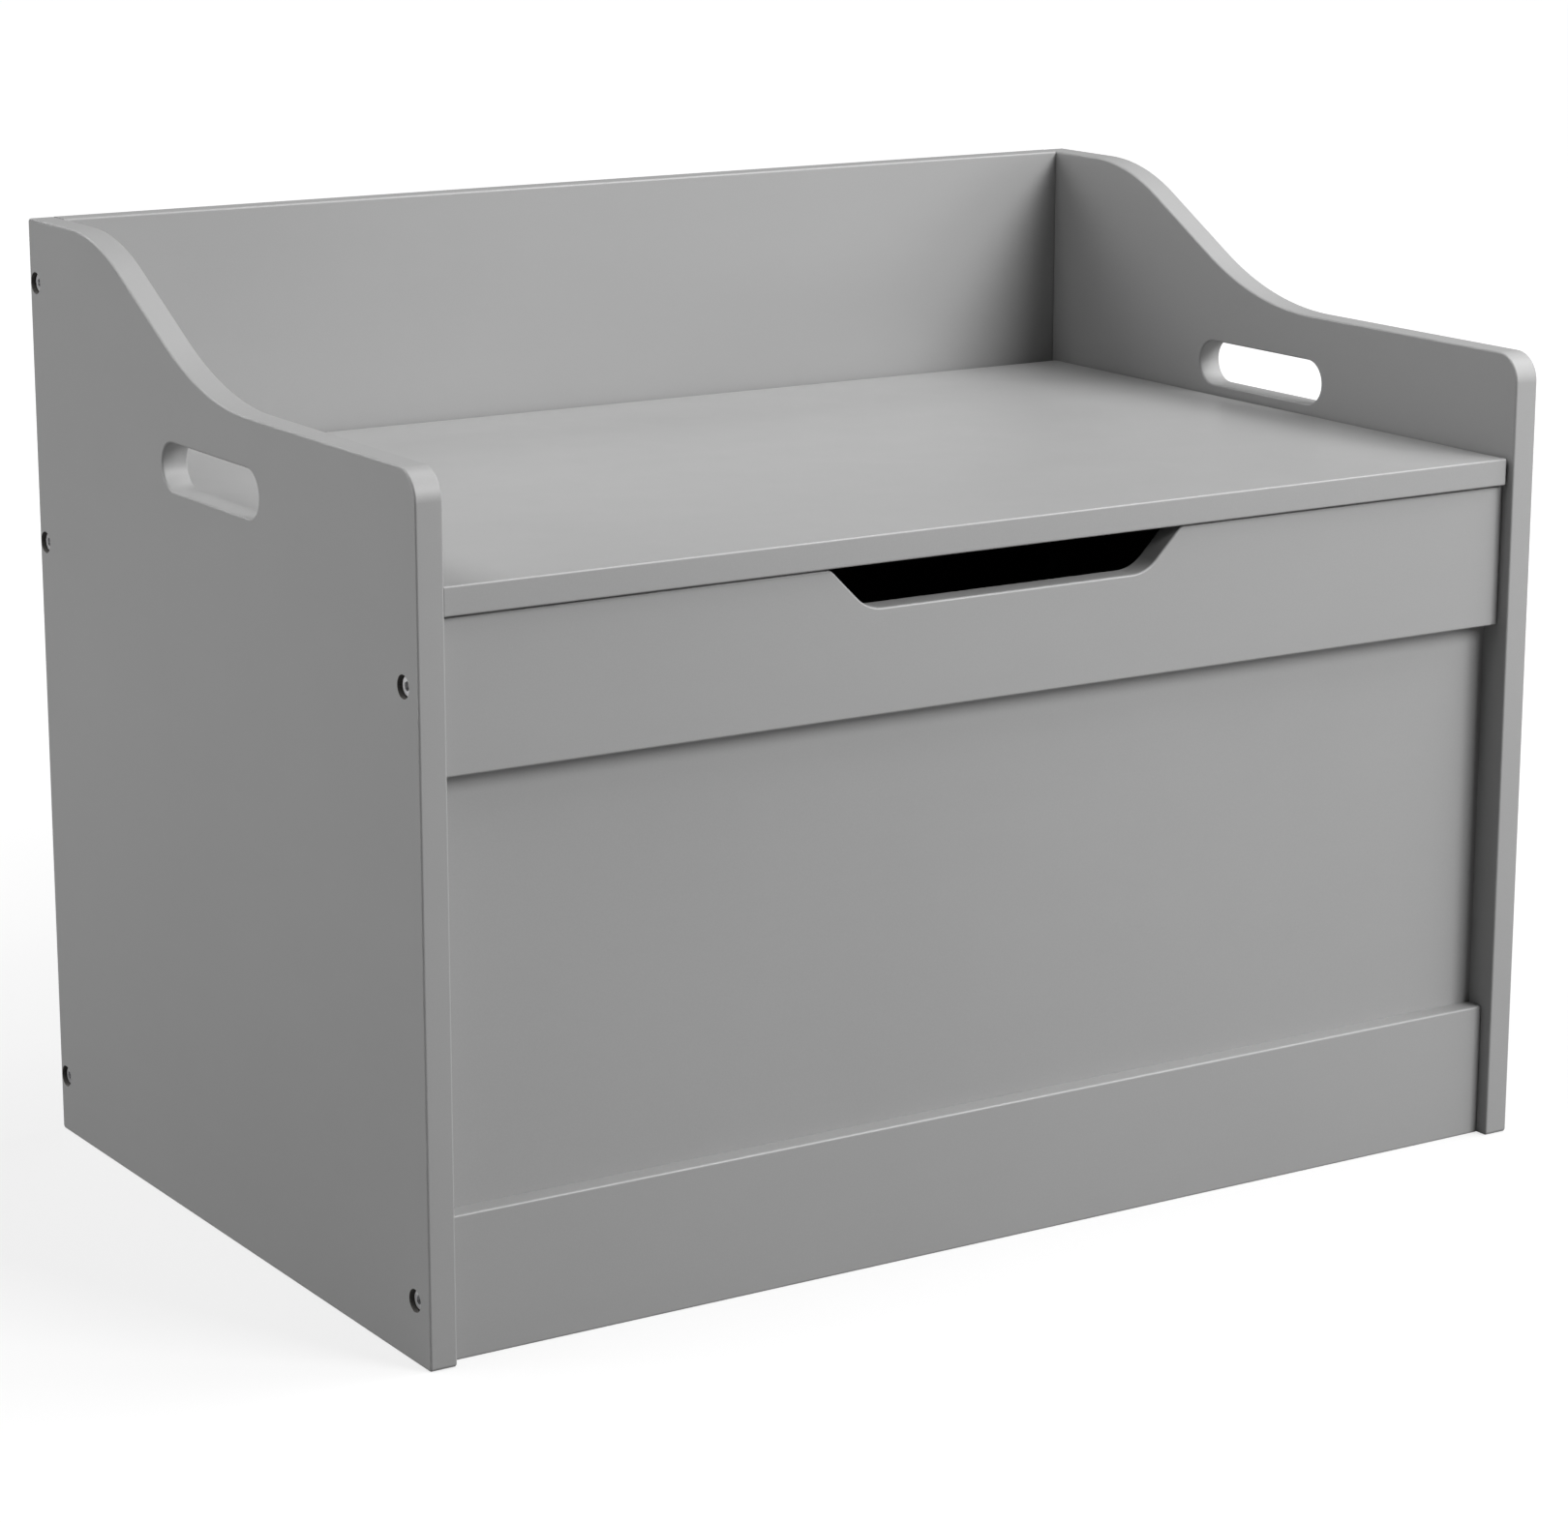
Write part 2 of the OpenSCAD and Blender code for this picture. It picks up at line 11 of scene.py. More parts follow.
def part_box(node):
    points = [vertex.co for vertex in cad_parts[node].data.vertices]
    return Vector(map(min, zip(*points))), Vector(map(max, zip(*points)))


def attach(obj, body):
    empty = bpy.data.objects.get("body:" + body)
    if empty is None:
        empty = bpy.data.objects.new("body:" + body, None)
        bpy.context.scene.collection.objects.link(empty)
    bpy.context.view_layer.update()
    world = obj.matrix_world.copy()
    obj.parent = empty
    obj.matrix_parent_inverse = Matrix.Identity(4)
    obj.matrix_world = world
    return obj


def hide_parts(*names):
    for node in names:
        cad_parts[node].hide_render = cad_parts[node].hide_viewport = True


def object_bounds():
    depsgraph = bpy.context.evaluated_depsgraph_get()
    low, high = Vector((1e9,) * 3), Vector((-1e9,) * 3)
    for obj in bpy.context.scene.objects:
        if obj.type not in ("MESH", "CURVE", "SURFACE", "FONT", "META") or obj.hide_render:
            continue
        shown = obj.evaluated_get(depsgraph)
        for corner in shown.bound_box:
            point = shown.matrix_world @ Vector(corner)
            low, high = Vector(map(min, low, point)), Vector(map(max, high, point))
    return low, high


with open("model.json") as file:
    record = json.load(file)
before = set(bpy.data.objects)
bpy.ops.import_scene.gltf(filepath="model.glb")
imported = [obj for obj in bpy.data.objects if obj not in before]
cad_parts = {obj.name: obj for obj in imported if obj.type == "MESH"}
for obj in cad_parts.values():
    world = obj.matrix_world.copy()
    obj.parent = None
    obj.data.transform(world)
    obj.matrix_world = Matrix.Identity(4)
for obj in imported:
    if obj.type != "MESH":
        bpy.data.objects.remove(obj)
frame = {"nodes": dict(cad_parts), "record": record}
CAD_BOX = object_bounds()
NODES = frame["nodes"]
BODY_OF = {
    node: body
    for body, nodes in frame["record"]["behaviour"]["bodies"].items()
    for node in nodes
}

MM = 0.001

# The way out of the box through each side panel
OUTWARD = {"left": -1, "right": 1}

# Corners of a solid closer than JOIN are one corner, and so are points of an outline closer than HAIR
JOIN = 0.001 * MM
HAIR = JOIN / 10
# How far a cut starts outside the face that it goes into
CLEAR = 1 * MM

# The side panels' top edge and handle slot
SIDE_H = 452 * MM
CORNER_R = 16 * MM
SWEEP_START = 180 * MM
SWEEP_SLOPE = math.radians(29.2)
HOLLOW_R = 200 * MM
CROWN_R = 127 * MM
SLOT_FROM_FRONT = 226.5 * MM
SLOT_Z = 413 * MM
SLOT_LEN = 115 * MM
SLOT_H = 26 * MM

# The finger notch in the front upper rail
NOTCH_W = 176 * MM
NOTCH_DEPTH = 23 * MM
NOTCH_FLOOR_R = 22 * MM
NOTCH_LIP_R = 6 * MM

# Rounding of the boards' arrises, of the lid's edges, the rails' ends, the thin panels and steel parts
ARRIS = 1.2 * MM
LID_ARRIS = 1.0 * MM
LID_END_ARRIS = 0.8 * MM
RAIL_END_ARRIS = 1.0 * MM
LID_REAR_R = 5 * MM
SQUARE_CORNER_R = 2 * MM
THIN_ARRIS = 0.4 * MM
STEEL_ARRIS = 0.35 * MM
# Facets across a rounded arris
BOARD_STEPS = 4
THIN_STEPS = 2
STEEL_STEPS = 3
# Facets round an outline's corner: the fewest, the most, and how they grow with its radius
FILLET_STEPS = (4, 28)
FILLET_GROWTH = 90
# Facets round fittings, bores, counterbores, wood screws, and half round a bar's end
ROUND = 40
BORE_ROUND = 32
COUNTERBORE_ROUND = 48
WOOD_SCREW_ROUND = 24
BAR_END_ROUND = 24
# Edges that turn more than this stay crisp, and the large faces set the shading of the others
CRISP_ANGLE = math.radians(32)
FACE_WEIGHT = 100

# Joinery: screws and dowels, grooves and rebates
COUNTERBORE_R = 6 * MM
COUNTERBORE_RIM = 0.1 * MM
SCREW_HEAD_H = 4 * MM
SCREW_HEAD_R = 5 * MM
SCREW_HEAD_BEVEL = 0.4 * MM
SCREW_SHANK_R = 3.5 * MM
SCREW_SHANK_PLAY = 0.05 * MM
SCREW_CORE_R = 2.5 * MM
SCREW_CORE_PLAY = 0.2 * MM
SCREW_PITCH = 3 * MM
SCREW_RIDGE = 1.1 * MM
SCREW_POINT = 0.6 * MM
SCREW_POINT_R = 1.2 * MM
SCREW_TAPER = 3 * MM
SCREW_THREAD_FROM = 3.5 * MM
SCREW_RUNOUT = 2 * MM
SCREW_PITCH_STEPS = 6
HEX_SIDES = 6
HEX_KEY = 4.6 * MM
HEX_DEPTH = 2.5 * MM
DOWEL_CHAMFER = 0.8 * MM
DOWEL_FLUTES = 24
DOWEL_FLUTE_DEPTH = 0.15 * MM
PLAY = 0.5 * MM
GROOVE_DEPTH = 5 * MM
THIN_PANELS = ("front_infill_panel", "back_infill_panel", "bottom_panel")

# Hinge and bumpers
BUSH_R = 6 * MM
BUSH_FLANGE_T = 1 * MM
BUSH_FLOOR = 0.5 * MM
BUSH_EDGE = 0.3 * MM
PIN_CHAMFER = 0.5 * MM
PIN_CLEARANCE = 0.05 * MM
BUMPER_EDGE = 0.5 * MM
BUMPER_STEPS = 4

# Stays
RIVET_R = 3 * MM
RIVET_HEAD_T = 1.5 * MM
RIVET_DOME_STEPS = 7
LID_RIVET_CLEARANCE = 0.2 * MM
PLATE_T = 2.5 * MM
PLATE_R = 5 * MM
BEND_R = 1.5 * MM
BEND_STEPS = 8
FLANGE_R = 4 * MM
RELIEF_R = 0.8 * MM
TAB_W = 16 * MM
WOOD_SCREW_R = 1.75 * MM
WOOD_SCREW_CORE_R = WOOD_SCREW_R - 0.45 * MM
WOOD_SCREW_HEAD_R = 3.5 * MM
WOOD_SCREW_HEAD_H = 2 * MM
WOOD_SCREW_LAND = 0.12 * MM
WOOD_SCREW_NECK = 0.6 * MM
WOOD_SCREW_POINT = 2.5 * MM
WOOD_SCREW_PITCH = 1.4 * MM
WOOD_SCREW_PITCH_STEPS = 5
WOOD_SCREW_RIDGE = 0.4 * MM
CROSS_LEN = 4 * MM
CROSS_W = 1 * MM
CROSS_DEPTH = 1 * MM


# ---- Camera, floor and light ----

CAMERA_PLACE = (-1.3050, -2.0486, 0.8175)
CAMERA_YAW = math.radians(32.49)
CAMERA_PITCH = math.radians(13.85)
CAMERA_ROLL = math.radians(0.09)
CAMERA_LENS = 101.6
SENSOR_WIDTH = 36.0
VIEW_DEPTH = 50

# Softboxes: degrees to the right of the front, degrees above the floor, watts, size and distance
LIGHTS = {
    "key_light": (27, 31, 82, 1.2, 3.0),
    "low_light": (40, 10, 16, 1.0, 3.0),
    "right_high_light": (65, 48, 45, 1.2, 3.0),
    "top_light": (90, 75, 25, 1.0, 2.8),
    "left_light": (-110, 5, 44, 1.4, 3.0),
    "left_high_light": (-90, 62, 26, 1.4, 3.0),
    "left_rear_light": (-150, 42, 31, 1.4, 3.0),
}
LIGHT_AIM = Vector((0, 0, 0.25))
AMBIENT = 0.02

# The paper's size and dark tone, and its painted glow, seen only by the camera, from one distance from
# the box to another
FLOOR_R = 12.0
FLOOR_SIDES = 96
FLOOR_PAPER = (0.2, 0.2, 0.2)
SWEEP_REACH = (0.6, 2.0)
SWEEP_PAINTED_GLOW = (0.72, 1.0)


def make_camera():
    """The photograph's view: a long lens, left of the front and a little above the lid."""
    data = bpy.data.cameras.new("camera")
    data.sensor_width = SENSOR_WIDTH
    data.lens = CAMERA_LENS
    data.clip_end = VIEW_DEPTH
    camera = bpy.data.objects.new("camera", data)
    bpy.context.scene.collection.objects.link(camera)
    turn = (
        Matrix.Rotation(-CAMERA_YAW, 4, "Z")
        @ Matrix.Rotation(math.pi / 2 - CAMERA_PITCH, 4, "X")
        @ Matrix.Rotation(CAMERA_ROLL, 4, "Z")
    )
    camera.matrix_world = Matrix.Translation(CAMERA_PLACE) @ turn
    bpy.context.scene.camera = camera


def softbox(name, azimuth, height, watts, size, distance):
    """A square area light aimed at the box."""
    data = bpy.data.lights.new(name, "AREA")
    data.size = size
    data.energy = watts
    light = bpy.data.objects.new(name, data)
    bpy.context.scene.collection.objects.link(light)
    turn, rise = math.radians(azimuth), math.radians(height)
    away = Vector((math.sin(turn) * math.cos(rise), -math.cos(turn) * math.cos(rise), math.sin(rise)))
    light.location = LIGHT_AIM + away * distance
    light.rotation_euler = (-away).to_track_quat("-Z", "Y").to_euler()


def make_lights():
    """The key light comes from the right of the front, so the front is evenly lit and the left side is
    darker. Weaker lights above and behind lift the lid and the left side."""
    for name, light in LIGHTS.items():
        softbox(name, *light)
    bpy.context.scene.view_settings.view_transform = "Standard"
    make_world()


def make_world():
    """A white backdrop that adds only a little light of its own."""
    world = bpy.data.worlds.new("studio")
    world.use_nodes = True
    tree = world.node_tree
    seen = tree.nodes.new("ShaderNodeLightPath").outputs["Is Camera Ray"]
    strength = tree.nodes.new("ShaderNodeMapRange")
    strength.inputs["To Min"].default_value = AMBIENT
    strength.inputs["To Max"].default_value = 1.0
    tree.links.new(seen, strength.inputs["Value"])
    background = tree.nodes["Background"]
    background.inputs["Color"].default_value = (1, 1, 1, 1)
    tree.links.new(strength.outputs["Result"], background.inputs["Strength"])
    bpy.context.scene.world = world


def make_floor():
    """A wide disc under the box, pale only through its painted glow."""
    mesh = bpy.data.meshes.new("floor")
    shape = bmesh.new()
    bmesh.ops.create_circle(shape, cap_ends=True, segments=FLOOR_SIDES, radius=FLOOR_R)
    shape.to_mesh(mesh)
    shape.free()
    floor = bpy.data.objects.new("floor", mesh)
    bpy.context.scene.collection.objects.link(floor)
    floor.location.z = CAD_BOX[0].z
    floor.data.materials.append(floor_material())


# ---- Materials ----


# The range that most of a noise's values lie in, and the colour sockets of a Mix node
NOISE_RANGE = (0.3, 0.7)
MIX_FIRST, MIX_SECOND, MIX_RESULT = 6, 7, 2

PAINT = (0.28, 0.28, 0.28)
# Raw fibreboard's colour made much darker, as painted shade for the insides of bores and grooves
FIBREBOARD_AND_SHADE = (0.11, 0.105, 0.10)
BEECH = (0.60, 0.43, 0.26)
ZINC = (0.62, 0.62, 0.63)
STEEL = (0.62, 0.62, 0.62)
NYLON = (0.8, 0.8, 0.77)
RUBBER = (0.04, 0.04, 0.04)

# How a grain's noise is stretched along a board or a fleck, and along a dowel's streaks
GRAIN_X = (0.15, 1, 1)
GRAIN_Y = (1, 0.15, 1)
STREAK_X = (0.08, 1, 1)

# The noise that makes a dark fleck, and how squarely a board's face looks along its axis
FLECK_RANGE = (0.62, 0.72)
FACE_RANGE = (0.3, 0.8)


class Tree:
    """A material's node tree, with short calls for the nodes that the materials here use."""

    def __init__(self, name):
        self.material = bpy.data.materials.new(name)
        self.material.use_nodes = True
        self.nodes = self.material.node_tree.nodes
        self.links = self.material.node_tree.links
        self.shader = self.nodes["Principled BSDF"]
        self.place = self.nodes.new("ShaderNodeTexCoord")

    def node(self, kind, **settings):
        made = self.nodes.new("ShaderNode" + kind)
        for key, value in settings.items():
            setattr(made, key, value)
        return made

    def join(self, output, target):
        self.links.new(output, target)

    def set(self, **values):
        for key, value in values.items():
            self.shader.inputs[key.replace("_", " ")].default_value = value

    def noise(self, scale, detail=2.0, rough=0.5, stretch=(1, 1, 1)):
        """Noise in the piece's own coordinates, with about `scale` features per metre."""
        mapping = self.node("Mapping")
        mapping.inputs["Scale"].default_value = stretch
        self.join(self.place.outputs["Object"], mapping.inputs["Vector"])
        made = self.node("TexNoise")
        made.inputs["Scale"].default_value = scale
        made.inputs["Detail"].default_value = detail
        made.inputs["Roughness"].default_value = rough
        self.join(mapping.outputs["Vector"], made.inputs["Vector"])
        return made.outputs["Fac"]

    def math(self, operation, first, second):
        made = self.node("Math", operation=operation)
        for socket, value in zip(made.inputs, (first, second)):
            if hasattr(value, "links"):
                self.join(value, socket)
            else:
                socket.default_value = value
        return made.outputs[0]

    def remap(self, value, low, high, to_low, to_high):
        made = self.node("MapRange")
        self.join(value, made.inputs["Value"])
        limits = {"From Min": low, "From Max": high, "To Min": to_low, "To Max": to_high}
        for key, number in limits.items():
            made.inputs[key].default_value = number
        return made.outputs["Result"]

    def vary(self, noise, low, high):
        """A value that goes from low to high with a noise."""
        return self.remap(noise, *NOISE_RANGE, low, high)

    def tint(self, color, factor):
        """A colour times a grey factor."""
        made = self.node("Mix", data_type="RGBA", blend_type="MULTIPLY")
        made.inputs["Factor"].default_value = 1.0
        made.inputs[MIX_FIRST].default_value = (*color, 1)
        grey = self.node("CombineColor")
        for channel in grey.inputs:
            self.join(factor, channel)
        self.join(grey.outputs[0], made.inputs[MIX_SECOND])
        return made.outputs[MIX_RESULT]

    def bump(self, height, strength, distance, after=None):
        made = self.node("Bump")
        made.inputs["Strength"].default_value = strength
        made.inputs["Distance"].default_value = distance
        self.join(height, made.inputs["Height"])
        if after is not None:
            self.join(after, made.inputs["Normal"])
        return made.outputs["Normal"]


def edge_mask(tree, facing):
    """One on a board's narrow edges and nothing on its faces, by the piece's own normals."""
    parts = tree.node("SeparateXYZ")
    tree.join(tree.place.outputs["Normal"], parts.inputs[0])
    level = tree.math("ABSOLUTE", parts.outputs[facing.upper()], 0)
    return tree.remap(level, *FACE_RANGE, 1, 0)


def paint_material(name, facing, grain):
    """Satin paint on fibreboard whose faces look along an axis. grain stretches the faint lay of the
    roller along the board. The paint sinks into the sawn edges, which are a little darker, rougher
    and more fibrous than the faces."""
    tree = Tree(name)
    edge = edge_mask(tree, facing)
    cloud = tree.vary(tree.noise(5, 3), 0.985, 1.015)
    lay = tree.vary(tree.noise(60, 3, 0.6, grain), 0.996, 1.004)
    speckle = tree.vary(tree.noise(1400, 1), 0.985, 1.015)
    sunk = tree.remap(edge, 0, 1, 1, 0.97)
    mottle = tree.math("MULTIPLY", cloud, lay)
    factor = tree.math("MULTIPLY", mottle, tree.math("MULTIPLY", speckle, sunk))
    tree.join(tree.tint(PAINT, factor), tree.shader.inputs["Base Color"])
    satin = tree.vary(tree.noise(25, 2, 0.5), 0.40, 0.44)
    rough = tree.math("ADD", satin, tree.remap(edge, 0, 1, 0, 0.08))
    tree.join(rough, tree.shader.inputs["Roughness"])
    peel = tree.bump(tree.noise(420, 2), 0.12, 0.05 * MM)
    fine = tree.bump(tree.noise(1800, 1), 0.10, 0.02 * MM, peel)
    fibre = tree.math("MULTIPLY", tree.noise(900, 4, 0.7), edge)
    tree.join(tree.bump(fibre, 0.25, 0.08 * MM, fine), tree.shader.inputs["Normal"])
    return tree.material


def metal_material(name, color, rough):
    """Plated steel with fine scratches and a cloudy plating."""
    tree = Tree(name)
    tree.set(Metallic=1.0)
    cloud = tree.vary(tree.noise(120, 3), 0.9, 1.08)
    tree.join(tree.tint(color, cloud), tree.shader.inputs["Base Color"])
    scratch = tree.noise(1500, 3, 0.6)
    tree.join(tree.vary(scratch, rough - 0.06, rough + 0.08), tree.shader.inputs["Roughness"])
    tree.join(tree.bump(scratch, 0.15, 0.02 * MM), tree.shader.inputs["Normal"])
    return tree.material


def plain_material(name, color, rough):
    """Moulded nylon or rubber with a faint cast texture."""
    tree = Tree(name)
    cloud = tree.vary(tree.noise(200, 2), 0.95, 1.05)
    tree.join(tree.tint(color, cloud), tree.shader.inputs["Base Color"])
    sheen = tree.vary(tree.noise(900, 2), rough - 0.05, rough + 0.05)
    tree.join(sheen, tree.shader.inputs["Roughness"])
    tree.join(tree.bump(tree.noise(1500, 2), 0.2, 0.03 * MM), tree.shader.inputs["Normal"])
    return tree.material


def beech_material():
    """Pale beech with streaks and short dark flecks along the dowel."""
    tree = Tree("beech")
    streak = tree.noise(500, 4, 0.6, STREAK_X)
    fleck = tree.remap(tree.noise(1800, 2, 0.5, GRAIN_X), *FLECK_RANGE, 1.0, 0.75)
    factor = tree.math("MULTIPLY", tree.vary(streak, 0.85, 1.12), fleck)
    tree.join(tree.tint(BEECH, factor), tree.shader.inputs["Base Color"])
    tree.join(tree.vary(streak, 0.5, 0.68), tree.shader.inputs["Roughness"])
    tree.join(tree.bump(streak, 0.3, 0.05 * MM), tree.shader.inputs["Normal"])
    return tree.material


def shaded_core_material():
    """Raw fibreboard where a bore or a groove goes through the paint, its colour darkened well past raw
    fibreboard into painted shade inside the bores and grooves.
    """
    tree = Tree("fibreboard_core_painted_shade")
    fibre = tree.vary(tree.noise(900, 3, 0.7), 0.85, 1.15)
    tree.join(tree.tint(FIBREBOARD_AND_SHADE, fibre), tree.shader.inputs["Base Color"])
    tree.join(tree.vary(tree.noise(1200, 2), 0.85, 0.95), tree.shader.inputs["Roughness"])
    tree.join(tree.bump(tree.noise(1500, 3), 0.4, 0.1 * MM), tree.shader.inputs["Normal"])
    return tree.material


def floor_material():
    """Dark grey paper with a painted glow that brightens it to white away from the box, as a lit studio
    sweep looks. The glow is only seen and lights nothing, so the box keeps its own shading."""
    tree = Tree("floor_paper_painted_glow")
    tree.set(Roughness=0.9)
    mottle = tree.vary(tree.noise(4, 2), 0.99, 1.01)
    tree.join(tree.tint(FLOOR_PAPER, mottle), tree.shader.inputs["Base Color"])
    tree.shader.inputs["Specular IOR Level"].default_value = 0.2
    distance = tree.node("VectorMath", operation="LENGTH")
    tree.join(tree.place.outputs["Object"], distance.inputs[0])
    # Painted light: a camera-only glow that whitens the floor more the farther it is from the box
    glow = tree.remap(distance.outputs["Value"], *SWEEP_REACH, *SWEEP_PAINTED_GLOW)
    seen = tree.node("LightPath").outputs["Is Camera Ray"]
    tree.shader.inputs["Emission Color"].default_value = (1, 1, 1, 1)
    tree.join(tree.math("MULTIPLY", glow, seen), tree.shader.inputs["Emission Strength"])
    return tree.material


# ---- Shapes ----

# A point on a board's own axes (across its face, up its face, through its thickness) as X, Y and Z
FACING = {
    "x": lambda u, v, w: Vector((w, u, v)),
    "y": lambda u, v, w: Vector((u, w, v)),
    "z": lambda u, v, w: Vector((u, v, w)),
}
# A point in X, Y and Z on a board's own axes
FLAT = {
    "y": lambda p: (p.x, p.z, p.y),
    "z": lambda p: (p.x, p.y, p.z),
}


def fillet(corners):
    """Points round a closed outline whose corners are (u, v, radius)."""
    points = []
    count = len(corners)
    for i, (u, v, radius) in enumerate(corners):
        corner = Vector((u, v))
        if radius == 0:
            points.append(corner)
            continue
        back = (Vector(corners[i - 1][:2]) - corner).normalized()
        ahead = (Vector(corners[(i + 1) % count][:2]) - corner).normalized()
        opening = back.angle(ahead)
        sweep = math.pi - opening
        centre = corner + (back + ahead).normalized() * (radius / math.sin(opening / 2))
        first = corner + back * (radius / math.tan(opening / 2)) - centre
        turn = math.copysign(sweep, back.cross(ahead) * -1)
        fewest, most = FILLET_STEPS
        steps = max(fewest, min(most, round(sweep * FILLET_GROWTH * math.sqrt(radius))))
        for step in range(steps + 1):
            angle = turn * step / steps
            point = centre + Matrix.Rotation(angle, 2) @ first
            if not points or (points[-1] - point).length > HAIR:
                points.append(point)
    if (points[0] - points[-1]).length < HAIR:
        points.pop()
    return points


def oblong(low, high, radius=0):
    """Outline of a rectangle between two corners, its corners rounded."""
    return fillet([
        (low[0], low[1], radius), (high[0], low[1], radius),
        (high[0], high[1], radius), (low[0], high[1], radius),
    ])


def circle(u, v, radius, segments=ROUND, start=0):
    """Outline of a circle or, with few segments, of a regular polygon."""
    angles = (start + 2 * math.pi * i / segments for i in range(segments))
    return [Vector((u + radius * math.cos(a), v + radius * math.sin(a))) for a in angles]


def capsule(first, last, radius):
    """Outline of a bar with round ends between two points."""
    first, last = Vector(first), Vector(last)
    run = (last - first).normalized()
    side = Vector((-run.y, run.x))
    points = []
    for centre, turn in ((last, 0), (first, math.pi)):
        for i in range(BAR_END_ROUND + 1):
            angle = turn - math.pi / 2 + math.pi * i / BAR_END_ROUND
            points.append(centre + (run * math.cos(angle) + side * math.sin(angle)) * radius)
    return points


def quarter(steps):
    """Even angles from nothing to a right angle."""
    return [math.pi / 2 * k / steps for k in range(steps + 1)]


def middle_of(corners):
    return (corners[0] + corners[1]) / 2


def radius_of(corners):
    """The radius of a round solid that lies along X."""
    return (corners[1].z - corners[0].z) / 2


def near_and_far(corners):
    """A solid's nearest and farthest distance from the middle of the box."""
    return sorted((abs(corners[0].x), abs(corners[1].x)))


def end_x(low, high, out):
    """The X of a solid's right end where out is 1 and of its left end where out is -1."""
    return high.x if out > 0 else low.x


def signed_area(points):
    """An outline's area, positive where it runs anticlockwise."""
    return sum(a.cross(b) for a, b in zip(points, points[1:] + points[:1])) / 2


def inset(points, distance):
    """A closed outline moved towards its left by a distance."""
    moved = []
    count = len(points)
    for i, point in enumerate(points):
        before = (point - points[i - 1]).normalized()
        after = (points[(i + 1) % count] - point).normalized()
        left_before, left_after = Vector((-before.y, before.x)), Vector((-after.y, after.x))
        share = distance / (1 + left_before.dot(left_after))
        moved.append(point + (left_before + left_after) * share)
    return moved


def slab(shape, facing, outer, holes, low, high, edge, steps=BOARD_STEPS):
    """Adds a flat board between two depths, its outline and holes rounded over along every arris."""
    to_frame = FACING[facing]
    loops = [outer if signed_area(outer) > 0 else outer[::-1]]
    loops += [hole if signed_area(hole) < 0 else hole[::-1] for hole in holes]
    rounds = [(edge * (1 - math.cos(a)), edge * (1 - math.sin(a))) for a in quarter(steps)]
    levels = [(side, low + depth) for side, depth in reversed(rounds)]
    levels += [(side, high - depth) for side, depth in rounds]
    caps = ([], [])
    for loop in loops:
        rings = []
        for side, depth in levels:
            moved = inset(loop, side)
            rings.append([shape.verts.new(to_frame(p.x, p.y, depth)) for p in moved])
        for ring, above in zip(rings, rings[1:]):
            count = len(ring)
            for i in range(count):
                j = (i + 1) % count
                shape.faces.new((ring[i], ring[j], above[j], above[i]))
        for cap, ring in zip(caps, (rings[0], rings[-1])):
            cap.append(([Vector((p.x, p.y, 0)) for p in inset(loop, edge)], ring))
    for cap in caps:
        corners = [v for _, ring in cap for v in ring]
        for triangle in tessellate_polygon([flat for flat, _ in cap]):
            shape.faces.new([corners[i] for i in triangle])


def prism(shape, facing, outline, low, high):
    """Adds a straight extrusion of an outline between two depths."""
    to_frame = FACING[facing]
    rings = [[shape.verts.new(to_frame(p.x, p.y, depth)) for p in outline] for depth in (low, high)]
    for i in range(len(outline)):
        j = (i + 1) % len(outline)
        shape.faces.new((rings[0][i], rings[0][j], rings[1][j], rings[1][i]))
    for ring in rings:
        shape.faces.new(ring)


def block(shape, low, high):
    """Adds a box between two corners."""
    prism(shape, "z", oblong(low, high), low[2], high[2])


def lathe(shape, start, axis, profile, segments=BORE_ROUND, bulge=None):
    """Adds a turned solid. profile is (distance along the axis, radius) from end to end, and bulge
    gives the extra radius at an angle and a distance."""
    axis = Vector(axis).normalized()
    across = axis.orthogonal().normalized()
    upright = axis.cross(across)
    rings = []
    for along, radius in profile:
        middle = Vector(start) + axis * along
        if radius <= 0:
            rings.append([shape.verts.new(middle)])
            continue
        ring = []
        for i in range(segments):
            angle = 2 * math.pi * i / segments
            r = radius + (bulge(angle, along) if bulge else 0)
            away = across * math.cos(angle) + upright * math.sin(angle)
            ring.append(shape.verts.new(middle + away * r))
        rings.append(ring)
    for ring, above in zip(rings, rings[1:]):
        for i in range(segments):
            j = (i + 1) % segments
            if len(ring) == 1:
                shape.faces.new((ring[0], above[j], above[i]))
            elif len(above) == 1:
                shape.faces.new((ring[i], ring[j], above[0]))
            else:
                shape.faces.new((ring[i], ring[j], above[j], above[i]))


def islands(node):
    """Lowest and highest corners of each separate solid of a CAD node, from the floor up."""
    shape = cad_shape(node)
    left = set(shape.verts)
    boxes = []
    while left:
        found, reached = set(), [left.pop()]
        while reached:
            vertex = reached.pop()
            found.add(vertex)
            for link in vertex.link_edges:
                other = link.other_vert(vertex)
                if other in left:
                    left.discard(other)
                    reached.append(other)
        low = Vector([min(v.co[k] for v in found) for k in range(3)])
        high = Vector([max(v.co[k] for v in found) for k in range(3)])
        boxes.append((low, high))
    shape.free()
    return sorted(boxes, key=lambda box: (round(box[0].z, 4), round(box[0].y, 4), round(box[0].x, 4)))


def cad_shape(node):
    """The closed shape of a CAD node, its split corners joined again."""
    shape = bmesh.new()
    shape.from_mesh(NODES[node].data)
    bmesh.ops.remove_doubles(shape, verts=shape.verts, dist=JOIN)
    return shape


def to_object(name, shape):
    """An object in the scene from a finished shape."""
    bmesh.ops.recalc_face_normals(shape, faces=shape.faces)
    mesh = bpy.data.meshes.new(name)
    shape.to_mesh(mesh)
    shape.free()
    made = bpy.data.objects.new(name, mesh)
    bpy.context.scene.collection.objects.link(made)
    return made


